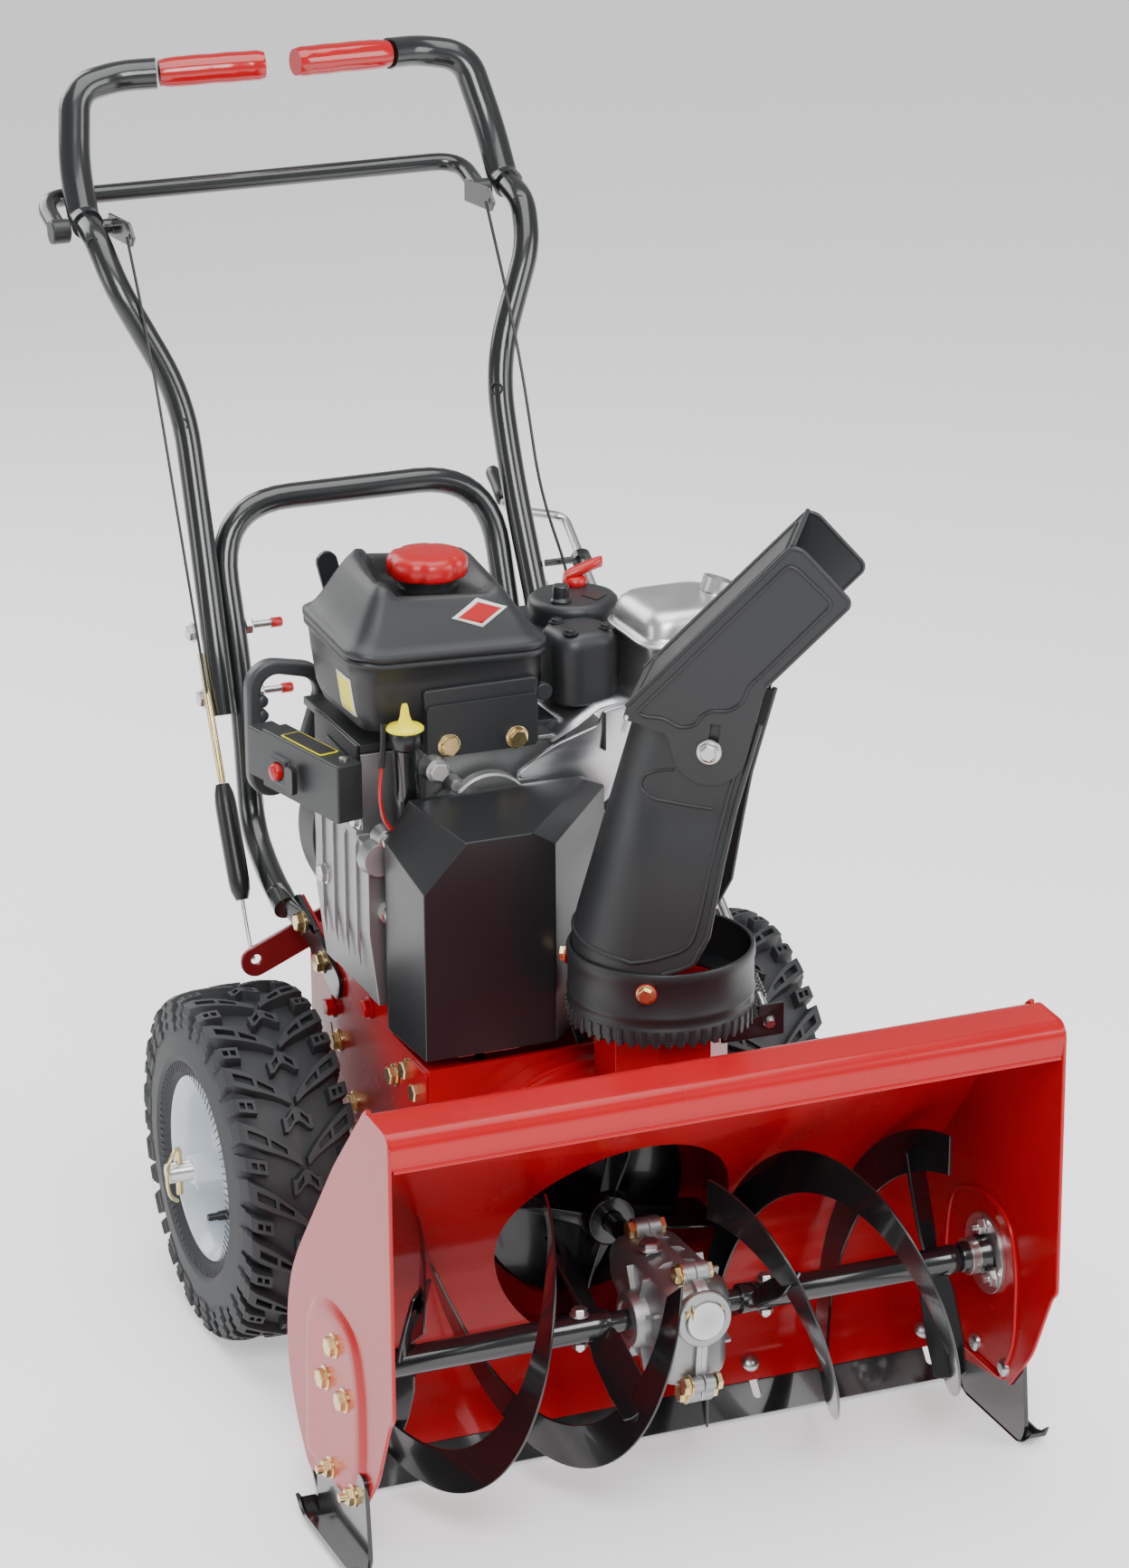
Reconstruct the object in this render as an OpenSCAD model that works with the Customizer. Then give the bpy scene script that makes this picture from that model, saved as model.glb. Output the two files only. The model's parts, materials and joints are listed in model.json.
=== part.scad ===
/* [Clearing housing] */
// Clearing width between the side plates
clear_w = 610; // [600:1:620]
// Thickness of the housing's sheet steel
sheet_t = 2.5; // [2:0.1:3]
// Outer radius of the impeller drum
drum_r = 130; // [128:1:132]
// Radius of the opening from the auger housing into the drum
drum_mouth_r = 111; // [108:1:114]

/* [Auger and impeller] */
// Outer radius of the auger ribbons
auger_r = 119.5; // [116:0.5:120]
// Width of the auger ribbon
ribbon_w = 38; // [30:1:42]
// Radius of the auger sleeve tubes
sleeve_r = 13; // [12.5:0.5:14]
// Outer radius of the impeller blades
impeller_r = 118; // [110:1:122]

/* [Chute] */
// Outer radius of the chute ring
ring_r = 83; // [80:0.5:83]
// Number of teeth in a full circle of the ring gear
ring_teeth = 48; // [36:2:60]
// Length of the deflector
deflector_len = 205; // [200:1:205]

/* [Wheels] */
// Outer radius of the tyres
tyre_r = 165; // [160:1:165]
// Distance from the middle of the machine to the middle of each tyre
track = 235; // [233:1:238]
// Radius of the drive axle
axle_r = 9.5; // [9:0.5:10]

/* [Handle] */
// Radius of the handle tubes
tube_r = 12.5; // [11:0.5:13]
// Radius of the hand loops
loop_r = 15.5; // [14:0.5:16]

/* [Hidden] */
$fn = 48;

// The model is laid out from the front plane of the housing, then centred front to back
mid_y = 568.5;
half_w = clear_w / 2;
auger_y = 127;
auger_z = 160;
drum_z = 188;
mouth_x = -6;
drum_back = 350;
chute_x = 55;
chute_y = 281;
chute_turn = -32;
hinge_s = -20;
hinge_z = 667;
deflector_root = [-22, 676];
deflector_rise = 46.6;
axle_y = 565;
axle_z = tyre_r;
frame_half = 139;
frame_rear = 663;
crank_x = -60;
crank_z = 455;
pivot_y = 1044;
pivot_z = 941;
pulley_y = 380;

// Side view of the housing's skin, from the front lip over the top and round behind the auger
skin = [[-2, 398], [-4, 412], [-4, 421], [4, 429], [46, 431], [57, 426], [136, 344], [229, 231],
  [247, 203], [258, 172], [262, 140], [260, 110], [250, 82], [236, 58], [213, 31]];
plate = concat([[-4, 421], [4, 429], [46, 431], [57, 426]], [for (i = [6:14]) skin[i]],
  [[81, 50], [39, 98], [5, 167], [-4, 175]]);

// Places of fasteners in side view
bearing_bolts = [for (a = [90, 210, 330]) [auger_y + 27 * cos(a), auger_z + 27 * sin(a)]];
skid_bolts = [[88, 62], [144, 62]];
frame_bolt_spots = [[635, 238], [545, 215], [436, 285], [400, 304], [375, 292], [602, 289],
  [586, 261], [500, 326]];
leg_bolts = [[670, 350], [616, 329]];
scraper_spots = [-290, -117, 117, 290];

// Routes of the bent tubes, for the right-hand side
upper_route = [[160, 818, 512], [160, 838, 570], [155, 896, 697], [155, 932, 794],
  [205, 970, 900], [212, 1000, 938], [211, 1036, 947]];
loop_route = [[211, 1036, 947], [210.6, 1050, 950.5], [209, 1080, 995], [196, 1112, 1062], [150, 1120, 1070],
  [114, 1108, 1072]];
leg_route = [[152, 690, 358], [152, 740, 376], [148, 797, 402], [140, 841, 530],
  [140, 905, 694], [0, 905, 694]];
bail_route = [[190, 1046, 942], [190, 1102, 960], [-243, 1102, 960], [-243, 1046, 942]];
crank_foot = [141.1, 236, 364.4];
crank_bend = [225, 915, 636];
crank_arm = [-60, 1, 14];
cable_top = [-194, 985, 944];
cable_foot = [-182, 710, 310];
box_x = -185;
box_y = 530;
box_turn = 12;

module placed() {
  translate([0, -mid_y, 0]) children();
}

// Extrudes a side-view outline (front to back, up) between two positions across the machine
module across(x0, x1) {
  translate([x0, 0, 0]) rotate([90, 0, 90]) linear_extrude(x1 - x0) children();
}

// Extrudes a front-view outline (across, up) between two positions front to back
module along(y0, y1) {
  translate([0, y1, 0]) rotate([90, 0, 0]) linear_extrude(y1 - y0) children();
}

module rod_x(x0, x1, y, z, r) {
  translate([x0, y, z]) rotate([0, 90, 0]) cylinder(h = x1 - x0, r = r);
}

module rod_y(y0, y1, x, z, r) {
  translate([x, y0, z]) rotate([-90, 0, 0]) cylinder(h = y1 - y0, r = r);
}

module rod_z(z0, z1, x, y, r) {
  translate([x, y, z0]) cylinder(h = z1 - z0, r = r);
}

module both_sides() {
  children();
  mirror([1, 0, 0]) children();
}

// Hexagon-head screw seen from outside: its washer face lies at z = 0 and the head rises in +z
module screw(r, length) {
  cylinder(h = 1.6, r = 2 * r + 1.5);
  translate([0, 0, 1.6]) cylinder(h = 5.4, r = 2 * r, $fn = 6);
  translate([0, 0, -length]) cylinder(h = length, r = r);
}

// Sweeps a round tube along a list of points
function unit(v) = v / norm(v);
function heading(p, i) = unit(p[min(i + 1, len(p) - 1)] - p[max(i - 1, 0)]);
function carried(v, t) = unit(v - (v * t) * t);
function side_way(p, i, v) = i == len(p) ? []
  : let (u = carried(v, heading(p, i))) concat([u], side_way(p, i + 1, u));
function corner(a, b, c, d, n) = let (
  e = min(d, norm(a - b) * 0.48, norm(c - b) * 0.48),
  s = b + e * unit(a - b),
  f = b + e * unit(c - b))
  [for (k = [0:n]) let (t = k / n) (1 - t) * (1 - t) * s + 2 * t * (1 - t) * b + t * t * f];
function rounded(p, d, n = 4) = concat([p[0]],
  [for (i = [1:len(p) - 2]) each corner(p[i - 1], p[i], p[i + 1], d, n)], [p[len(p) - 1]]);

module tube(p, r, n = 12) {
  m = len(p);
  v = side_way(p, 0, abs(heading(p, 0)[0]) < 0.8 ? [1, 0, 0] : [0, 0, 1]);
  ring_points = [for (i = [0:m - 1], k = [0:n - 1])
    let (w = cross(heading(p, i), v[i])) p[i] + r * (cos(360 * k / n) * v[i] + sin(360 * k / n) * w)];
  walls = [for (i = [0:m - 2], k = [0:n - 1]) let (a = i * n + k, b = i * n + (k + 1) % n)
    each [[a, a + n, b], [b, a + n, b + n]]];
  ends = [[for (k = [0:n - 1]) k], [for (k = [n - 1:-1:0]) (m - 1) * n + k]];
  polyhedron(ring_points, concat(walls, ends));
}

// Gives a bent line in side view a thickness on its inner side
function line_side(a, b) = let (d = (b - a) / norm(b - a)) [-d[1], d[0]];
function bisector(p, i) = let (
  a = line_side(p[max(i - 1, 0)], p[max(i, 1)]),
  b = line_side(p[min(i, len(p) - 2)], p[min(i + 1, len(p) - 1)]))
  (a + b) / (1 + a * b);
function thick_line(p, t) = concat(p,
  [for (i = [len(p) - 1:-1:0]) p[i] - t * bisector(p, i)]);

// On the skin's lower edge, with the sheet's inner side towards +z
module at_scraper(x) {
  translate([x, 223, 42.7]) rotate([49.6, 0, 0]) children();
}

// Everything in front of the housing's skin, used to trim what joins it from behind
module inside_housing() {
  across(-half_w, half_w) polygon(concat(skin, [[213, -20], [-60, -20], [-60, 398]]));
}

module auger_housing() {
  color("crimson") placed() difference() {
    across(-half_w, half_w) polygon(thick_line(skin, sheet_t));
    rod_y(100, 300, mouth_x, drum_z, drum_mouth_r);
    for (x = scraper_spots) at_scraper(x) cylinder(h = 12, r = 4.2, center = true);
  }
}

module side_plate(side) {
  color("crimson") placed() difference() {
    across(side > 0 ? half_w : -half_w - sheet_t, side > 0 ? half_w + sheet_t : -half_w)
      polygon(plate);
    for (s = concat(bearing_bolts, skid_bolts))
      rod_x(side * half_w - 10, side * half_w + 10, s[0], s[1], 4.2);
    rod_x(side * half_w - 10, side * half_w + 10, auger_y, auger_z, 13);
  }
}

module side_plate_left() {
  side_plate(-1);
}

module side_plate_right() {
  side_plate(1);
}

module stand_outline(half) {
  k = half * 0.45;
  translate([chute_x, chute_y]) polygon([[half, k], [k, half], [-k, half], [-half, k],
    [-half, -k], [-k, -half], [k, -half], [half, -k]]);
}

module impeller_drum() {
  color("crimson") placed() difference() {
    rod_y(150, drum_back, 0, drum_z, drum_r);
    rod_y(140, drum_back - sheet_t, 0, drum_z, drum_r - sheet_t);
    rod_y(300, 400, 0, drum_z, 20);
    inside_housing();
    translate([0, 0, drum_z]) linear_extrude(300) stand_outline(51.5);
  }
}

module chute_stand() {
  color("crimson") placed() {
    difference() {
      translate([0, 0, 200]) linear_extrude(195) stand_outline(54);
      translate([0, 0, 199]) linear_extrude(197) stand_outline(51.5);
      rod_y(100, 400, 0, drum_z, drum_r);
      inside_housing();
    }
    difference() {
      rod_z(395, 398, chute_x, chute_y, 76);
      translate([0, 0, 394]) linear_extrude(5) stand_outline(51.5);
    }
  }
}

module scraper_bar() {
  color("dimgray") placed() difference() {
    across(-half_w, half_w) polygon([[233.2, 54.3], [193, 7.1], [196, 4.5], [236.2, 51.7]]);
    for (x = scraper_spots) at_scraper(x) {
      cylinder(h = 20, r = 4.2, center = true);
      translate([-4.2, -28, -10]) cube([8.4, 28, 20]);
      translate([0, -28, 0]) cylinder(h = 20, r = 4.2, center = true);
    }
  }
}

module skid_shoe(side) {
  x0 = half_w + sheet_t;
  color("dimgray") placed() scale([side, 1, 1]) {
    difference() {
      across(x0, x0 + 4) polygon([[60, 4], [172, 4], [180, 18], [180, 92], [60, 92], [52, 18]]);
      for (s = skid_bolts) {
        rod_x(x0 - 1, x0 + 5, s[0], s[1], 4.3);
        across(x0 - 1, x0 + 5) translate([s[0] - 4.3, s[1]]) square([8.6, 22]);
        rod_x(x0 - 1, x0 + 5, s[0], s[1] + 22, 4.3);
      }
    }
    translate([x0, 60, 0]) cube([22, 112, 4]);
    translate([x0 + 4, 64, 88]) cube([10, 112, 4]);
  }
}

module skid_shoe_left() {
  skid_shoe(-1);
}

module skid_shoe_right() {
  skid_shoe(1);
}

// Flanged bearings of the auger, the impeller and the axle
module bearings() {
  color("silver") placed() {
    both_sides() difference() {
      union() {
        across(half_w - 4, half_w) translate([auger_y, auger_z]) circle(r = 37);
        rod_x(half_w - 22, half_w, auger_y, auger_z, 17);
      }
      rod_x(half_w - 30, half_w + 5, auger_y, auger_z, axle_r + 0.05);
      for (s = bearing_bolts) rod_x(half_w - 30, half_w + 5, s[0], s[1], 4.2);
    }
    difference() {
      rod_y(drum_back - 6, drum_back + 12, 0, drum_z, 17);
      rod_y(drum_back - 10, drum_back + 20, 0, drum_z, axle_r + 0.05);
    }
    both_sides() difference() {
      union() {
        rod_x(frame_half, frame_half + 5, axle_y, axle_z, 30);
        rod_x(frame_half - 12, frame_half + 14, axle_y, axle_z, 17);
      }
      rod_x(frame_half - 20, frame_half + 20, axle_y, axle_z, axle_r + 0.05);
    }
  }
}

module chassis_bolts() {
  color("goldenrod") placed() {
    both_sides() {
      for (s = bearing_bolts) translate([half_w + sheet_t, s[0], s[1]]) rotate([0, 90, 0])
        screw(4.1, 14);
      for (s = skid_bolts) translate([half_w + sheet_t + 4, s[0], s[1]]) rotate([0, 90, 0])
        screw(4.1, 14);
      for (s = frame_bolt_spots) translate([frame_half, s[0], s[1]]) rotate([0, 90, 0])
        screw(4.1, 8);
    }
    for (x = scraper_spots) at_scraper(x) {
      translate([0, 0, 2.6]) cylinder(h = 3.2, r = 8);
      translate([0, 0, -10]) cylinder(h = 12.6, r = 4.1);
      translate([0, 0, -9.5]) cylinder(h = 4.5, r = 7, $fn = 6);
    }
    for (p = [[-78, 588], [-13, 587]]) translate([p[0], 449, p[1]]) rotate([90, 0, 0])
      screw(4.1, 6);
  }
}

// Cast gear case: the left half reaches to the centre plane, the right half is its mirror image
case_bolts = [[84, 216], [186, 215], [74, 108], [152, 104]];
module gear_case_half() {
  color("lightgray") placed() difference() {
    union() {
      across(0, 30) polygon([[62, 172], [62, 204], [72, 212], [196, 211], [212, 200], [212, 174],
        [190, 152], [168, 116], [150, 106], [84, 106], [70, 118], [68, 150]]);
      rod_x(0, 44, auger_y, auger_z, 24);
      for (p = case_bolts) rod_x(0, 12, p[0], p[1], 9);
    }
    rod_x(-60, 60, auger_y, auger_z, axle_r + 0.05);
    rod_x(-12, 12, auger_y, auger_z, 21);
    rod_y(80, 240, 0, drum_z, axle_r + 0.05);
    for (p = case_bolts) rod_x(-20, 20, p[0], p[1], 3);
  }
}

module gearbox_left() {
  mirror([1, 0, 0]) gear_case_half();
}

module gearbox_right() {
  gear_case_half();
}

// Side view of the frame box; the inner outline leaves the sheet's thickness all round
module frame_outline(t) {
  polygon([[drum_back + t, 70 + t], [drum_back + t, 322 - t], [440 + t, 322 - t],
    [460 + t, 350 - t], [frame_rear - t, 350 - t], [frame_rear - t, 140 + t / 2],
    [610 - t / 2, 70 + t]]);
}

module frame_box() {
  color("crimson") placed() difference() {
    union() {
      across(-frame_half, frame_half) frame_outline(0);
      both_sides() across(frame_half - sheet_t, frame_half) polygon([[600, 345], [684, 372],
        [692, 345], [frame_rear - 1, 325]]);
    }
    across(-frame_half + sheet_t, frame_half - sheet_t) frame_outline(sheet_t);
    rod_y(drum_back - 10, drum_back + 20, 0, drum_z, 17.05);
    rod_x(-200, 200, axle_y, axle_z, 17.05);
    both_sides() for (s = concat(frame_bolt_spots, leg_bolts))
      rod_x(frame_half - 10, frame_half + 10, s[0], s[1], 4.2);
    rod_z(340, 360, -110, 620, 9);
    rod_z(340, 360, 110, 620, 9);
    along(frame_rear - 10, frame_rear + 10) translate([-70, 190]) square([140, 90]);
    translate([-35, 500, 340]) cube([70, 60, 20]);
    translate([-104, drum_back + 5, 300]) cube([150, 82, 40]);
  }
}

module cover_shape(shrink, floor) {
  hull() {
    along(342 + shrink, 342.5 + shrink) offset(delta = -shrink) polygon([[-144, floor],
      [-20, floor], [-20, 522], [-42, 535], [-104, 535], [-144, 492]]);
    along(420, 440) offset(delta = -shrink) polygon([[-148, floor], [60, floor], [60, 540],
      [40, 549], [-124, 549], [-148, 512]]);
  }
}

module belt_cover() {
  color("#26282a") placed() difference() {
    cover_shape(0, 334);
    cover_shape(sheet_t, 320);
    translate([-160, 430, 300]) cube([240, 40, 300]);
    rod_z(315, 600, chute_x, chute_y, 93.5);
  }
}

module crankcase() {
  color("silver") placed() difference() {
    union() {
      translate([-150, 446, 350]) cube([190, 26, 12]);
      translate([-150, 560, 350]) cube([190, 26, 12]);
      hull() {
        translate([-150, 446, 352]) cube([180, 140, 8]);
        translate([-158, 446, 420]) cube([208, 140, 90]);
      }
      translate([-152, 456, 510]) cube([190, 130, 70]);
      rod_y(436, 446, crank_x, crank_z, 34);
    }
    rod_y(400, 640, crank_x, crank_z, 12.05);
    translate([-170, 440, 504]) cube([72, 36, 100]);
  }
}

module cylinder_shield() {
  color("lightgray") placed() difference() {
    union() {
      translate([50.5, 450, 470]) cube([60, 120, 130]);
      hull() {
        translate([38.5, 450, 525]) cube([10, 120, 70]);
        translate([104, 450, 480]) cube([10, 120, 120]);
      }
    }
    translate([56, 455, 460]) cube([50, 110, 120]);
  }
}

module blower_shroud() {
  color("#2b2d2f") placed() difference() {
    union() {
      rod_y(587, 628, crank_x, crank_z + 10, 100);
      translate([-152, 478, 580.5]) cube([190, 150, 8]);
      translate([-155, 478, 512]) cube([2.5, 112, 76.5]);
    }
    rod_y(580, 625, crank_x, crank_z + 10, 96);
  }
}

module recoil_housing() {
  color("#3d4042") placed() {
    rod_y(628, 640, crank_x, crank_z + 10, 92);
    hull() {
      rod_y(640, 641, crank_x, crank_z + 10, 90);
      rod_y(655, 656, crank_x, crank_z + 10, 60);
    }
    translate([-122, 642, 496]) cube([26, 12, 74]);
  }
}

module fuel_tank() {
  color("#26282a") placed() difference() {
    union() {
      hull() {
        translate([-152, 462, 602]) linear_extrude(2) square([168, 130]);
        translate([-165, 455, 672]) linear_extrude(12) square([190, 148]);
      }
      hull() {
        translate([-165, 455, 672]) linear_extrude(12) square([190, 148]);
        translate([-120, 512, 714]) linear_extrude(2) square([112, 90]);
      }
      rod_z(700, 722, -65, 531, 26);
      translate([-95, 449, 577]) cube([100, 6, 45]);
      translate([-95, 454, 589]) cube([100, 40, 20]);
    }
    rod_z(640, 730, -65, 531, 21);
    for (p = [[-78, 588], [-13, 587]]) rod_y(440, 470, p[0], p[1], 4.2);
  }
}

module carb_cover() {
  color("#26282a") placed() {
    translate([28, 524, 600.5]) cube([100, 96, 52]);
    hull() {
      rod_z(604, 668, 60, 485, 26);
      rod_z(604, 668, 72, 500, 26);
    }
    rod_z(652, 676, 88, 560, 42);
  }
}

module muffler() {
  color("#b9bcc0") placed() {
    hull() {
      for (x = [122, 184], y = [432, 500]) rod_z(600, 668, x, y, 18, $fn = 32);
    }
    hull() {
      for (x = [122, 184], y = [432, 500]) rod_z(664, 667, x, y, 21, $fn = 32);
    }
    hull() {
      for (x = [122, 184], y = [432, 500]) {
        rod_z(667, 684, x, y, 18, $fn = 32);
        rod_z(667, 694, x, y, 10, $fn = 32);
      }
    }
  }
}

module at_box() {
  translate([box_x, box_y, 0]) rotate([0, 0, box_turn]) children();
}

module starter_box() {
  color("#2b2d2f") placed() at_box() difference() {
    union() {
      translate([-13, -76, 526]) cube([26, 130, 54]);
      translate([-13, 54, 530]) cube([26, 24, 46]);
      translate([-17, 8, 536]) cube([4, 26, 26]);
    }
    translate([-10, 60, 533]) cube([20, 20, 40]);
    rod_x(-20, -5, 21, 549, 8.3);
  }
}

module dipstick_tube() {
  color("#1f2122") placed() {
    tube([[-113, 459.5, 507.5], [-118, 449, 552], [-124, 436, 598]], 11, 16);
    rod_z(598.5, 612, -124, 436, 13.5);
  }
}

module lower_handle() {
  last = len(leg_route) - 1;
  color("#2e3133") placed() {
    tube(rounded(concat([for (i = [0:last - 1]) [-leg_route[i][0], leg_route[i][1], leg_route[i][2]]],
      [for (i = [last:-1:0]) leg_route[i]]), 70, 5), tube_r);
    both_sides() difference() {
      across(frame_half + 0.5, frame_half + 4.5) polygon([[577, 302], [694, 346], [690, 375],
        [568, 328]]);
      for (s = leg_bolts) rod_x(frame_half - 2, frame_half + 8, s[0], s[1], 4.2);
      rod_x(frame_half - 2, frame_half + 8, 695, 360, 13);
    }
  }
}

module upper_handle(side) {
  color("#2e3133") placed()
    tube([for (p = rounded(upper_route, 45, 5)) [side * (p[0] + 6), p[1], p[2]]], tube_r);
}

module upper_handle_left() {
  upper_handle(-1);
}

module upper_handle_right() {
  upper_handle(1);
}

module handle_loops() {
  color("#2e3133") placed() both_sides()
    tube([for (p = rounded(loop_route, 45, 6)) [p[0] + 6, p[1], p[2]]], loop_r, 16);
}

module hand_grips() {
  color("red") placed() both_sides()
    tube([[118, 1107, 1072], [70, 1098, 1074], [16, 1090, 1075]], 15, 16);
}

module handle_bolts() {
  color("goldenrod") placed() both_sides() {
    for (p = [[838, 524], [865, 582]]) {
      rod_x(179, 181, p[0], p[1], 9);
      translate([181, p[0], p[1]]) rotate([0, 90, 0]) cylinder(h = 5, r = 8, $fn = 6);
      rod_x(90, 127.4, p[0], p[1], 4);
      translate([120, p[0], p[1]]) rotate([0, 90, 0]) cylinder(h = 7, r = 8, $fn = 6);
    }
    for (s = leg_bolts) translate([frame_half + 4.5, s[0], s[1]]) rotate([0, 90, 0])
      screw(4.1, 12);
  }
}

// The crank's foot bearing on the chute stand and its eye on the right-hand handle tube
module along_crank(y) {
  k = (y - crank_foot[1]) / (crank_bend[1] - crank_foot[1]);
  translate(crank_foot + k * (crank_bend - crank_foot)) rotate([-68.3, 0, -7]) children();
}

module crank_brackets() {
  color("#2e3133") placed() {
    difference() {
      union() {
        translate([96, 240, 352]) cube([60, 3, 20]);
        translate([132, 240, 352]) cube([24, 3, 30]);
      }
      along_crank(241.5) cylinder(h = 40, r = 5.3, center = true);
    }
    difference() {
      union() {
        rod_x(178.8, 215, 852, 611, 3.5);
        along_crank(852) cylinder(h = 8, r = 10, center = true);
      }
      along_crank(852) cylinder(h = 40, r = 5.3, center = true);
    }
  }
}

// One flat belt loop between the engine pulley and the impeller pulley
module drive_belt() {
  low = [0, drum_z, 52.5];
  high = [crank_x, crank_z, 34.5];
  color("#202020") placed() along(pulley_y + 4.4, pulley_y + 13.6) difference() {
    hull() for (c = [low, high]) translate([c[0], c[1]]) circle(r = c[2] + 6.5, $fn = 48);
    hull() for (c = [low, high]) translate([c[0], c[1]]) circle(r = c[2], $fn = 48);
  }
}

module auger_shaft() {
  color("#2e3133") placed() {
    rod_x(-half_w - 6, half_w + 6, auger_y, auger_z, axle_r);
    rod_x(-8, 8, auger_y, auger_z, 18.2);
  }
}

// A ribbon wound round the auger axis from x0 over the given length, one turn per pitch
module ribbon(x0, length, start, turn) {
  steps = 24;
  ring_points = [for (i = [0:steps]) let (
    a = start + turn * i / steps,
    x = x0 + length * i / steps,
    u = [0, cos(a), sin(a)])
    each [[x - 1.5, 0, 0] + (auger_r - ribbon_w) * u, [x - 1.5, 0, 0] + auger_r * u,
      [x + 1.5, 0, 0] + auger_r * u, [x + 1.5, 0, 0] + (auger_r - ribbon_w) * u]];
  hand = turn < 0 ? 1 : -1;
  walls = [for (i = [0:steps - 1], k = [0:3]) let (a = 4 * i + k, b = 4 * i + (k + 1) % 4)
    each (hand > 0 ? [[a, a + 4, b], [b, a + 4, b + 4]] : [[a, b, a + 4], [b, b + 4, a + 4]])];
  last = 4 * steps;
  ends = hand > 0 ? [[0, 1, 2, 3], [last + 3, last + 2, last + 1, last]]
    : [[3, 2, 1, 0], [last, last + 1, last + 2, last + 3]];
  translate([0, auger_y, auger_z]) polyhedron(ring_points, concat(walls, ends));
}

module spoke(x, a) {
  translate([x, auger_y, auger_z]) rotate([a, 0, 0]) rotate([0, 50, 0])
    translate([-2, sleeve_r - 3, -15]) cube([4, auger_r - ribbon_w / 2 - sleeve_r + 3, 30]);
}

// Two ribbons half a turn apart on one sleeve; start is the angle of the first at its inner end
module flight_right_side(start) {
  difference() {
    union() {
      rod_x(62, 272, auger_y, auger_z, sleeve_r);
      for (k = [0, 180], x = [72, 250]) spoke(x, start + k + 360 * (x - 33) / 233);
    }
    rod_x(50, 290, auger_y, auger_z, axle_r + 0.05);
  }
  for (k = [0, 180]) ribbon(33, 233, start + k, 360);
}

module auger_flight_right() {
  color("#26282a") placed() flight_right_side(-270);
}

module auger_flight_left() {
  color("#26282a") placed() mirror([1, 0, 0]) flight_right_side(-217);
}

module impeller() {
  color("#26282a") placed() {
    rod_y(84, 410, 0, drum_z, axle_r);
    rod_y(300, 340, 0, drum_z, 17);
    for (a = [20:90:290]) translate([0, 0, drum_z]) rotate([0, a, 0])
      translate([15, 270, -1.5]) cube([impeller_r - 15, 68, 3]);
    rod_y(336, 339, 0, drum_z, 100);
  }
}

module grooved_pulley(r, y, x, z, bore) {
  translate([x, y, z]) rotate([-90, 0, 0]) rotate_extrude()
    polygon([[bore, 0], [r + 9, 0], [r + 9, 3], [r, 4], [r, 14], [r + 9, 15], [r + 9, 18],
      [bore, 18]]);
}

module impeller_pulley() {
  color("silver") placed() grooved_pulley(52, pulley_y, 0, drum_z, axle_r);
}

module engine_pulley() {
  color("silver") placed() {
    grooved_pulley(34, pulley_y, crank_x, crank_z, 12);
    rod_y(372, 586, crank_x, crank_z, 12);
  }
}

module drive_axle() {
  color("silver") placed() {
    rod_x(-318, 318, axle_y, axle_z, axle_r);
    difference() {
      rod_x(20, 34, axle_y, axle_z, 70);
      rod_x(10, 40, axle_y, axle_z, axle_r - 0.5);
    }
  }
}

module rim(side) {
  color("lightsteelblue") placed() translate([side * track, axle_y, axle_z])
    rotate([0, side * 90, 0]) difference() {
      union() {
        rotate_extrude() polygon([[76, -55], [86, -55], [86, -50], [79, -46], [79, 40], [86, 44],
          [86, 48], [76, 44], [74, 12], [50, 0], [14, 6], [14, 3], [50, -3], [74, 8]]);
        translate([0, 0, -52]) cylinder(h = 112, r = 14);
      }
      translate([0, 0, -80]) cylinder(h = 160, r = axle_r + 0.0);
    }
}

module rim_left() {
  rim(-1);
}

module rim_right() {
  rim(1);
}

module tyre(side) {
  color("#303234") placed() translate([side * track, axle_y, axle_z]) rotate([0, side * 90, 0])
    rotate_extrude() polygon([[86, -55], [112, -60], [140, -60], [158, -54], [tyre_r, -40],
      [tyre_r, 40], [158, 52], [140, 58], [112, 57], [86, 44], [79, 40], [79, -46], [86, -50]]);
}

module tyre_left() {
  tyre(-1);
}

module tyre_right() {
  tyre(1);
}

module axle_pins() {
  color("goldenrod") placed() both_sides() {
    rod_z(axle_z + axle_r, axle_z + 24, 307, axle_y, 3);
    tube([[307, axle_y, axle_z + 24], [312, axle_y - 12, axle_z + 20],
      [319, axle_y - 16, axle_z], [316, axle_y - 10, axle_z - 18]], 1.6, 8);
  }
}

module chute_ring() {
  color("#26282a") placed() translate([chute_x, chute_y, 0]) {
    difference() {
      translate([0, 0, 375]) cylinder(h = 66, r = ring_r);
      translate([0, 0, 370]) cylinder(h = 28.5, r = ring_r - 4);
      translate([0, 0, 401.5]) cylinder(h = 50, r = ring_r - 4);
      translate([0, 0, 380]) cylinder(h = 50, r = 58);
      for (a = [-122, -32, 58]) rotate([0, 0, a]) translate([60, 0, 424]) rotate([0, 90, 0])
        cylinder(h = 40, r = 4.1);
    }
    for (k = [0:ring_teeth - 1]) rotate([0, 0, 360 * (k + 0.5) / ring_teeth])
      translate([ring_r - 0.5, 0, 375]) linear_extrude(14)
        polygon([[0, -3], [2.5, -1.5], [2.5, 1.5], [0, 3]]);
  }
}

// Plan outline of the chute at one height: straight sides and a half-round back
function chute_section(back, half, front, t) = concat(
  [[front, -half + t]],
  [for (a = [-90:-22.5:-270]) [back + half + (half - t) * cos(a), (half - t) * sin(a)]],
  [[front, half - t]]);
chute_levels = [[403, -78.5, 78.5, 0], [440, -78.5, 78.5, 10], [450, -79, 77, 40],
  [476, -73, 72, 53], [540, -55, 64, 64], [586, -42, 51.5, 73], [664, -20, 49.5, 94]];

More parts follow.
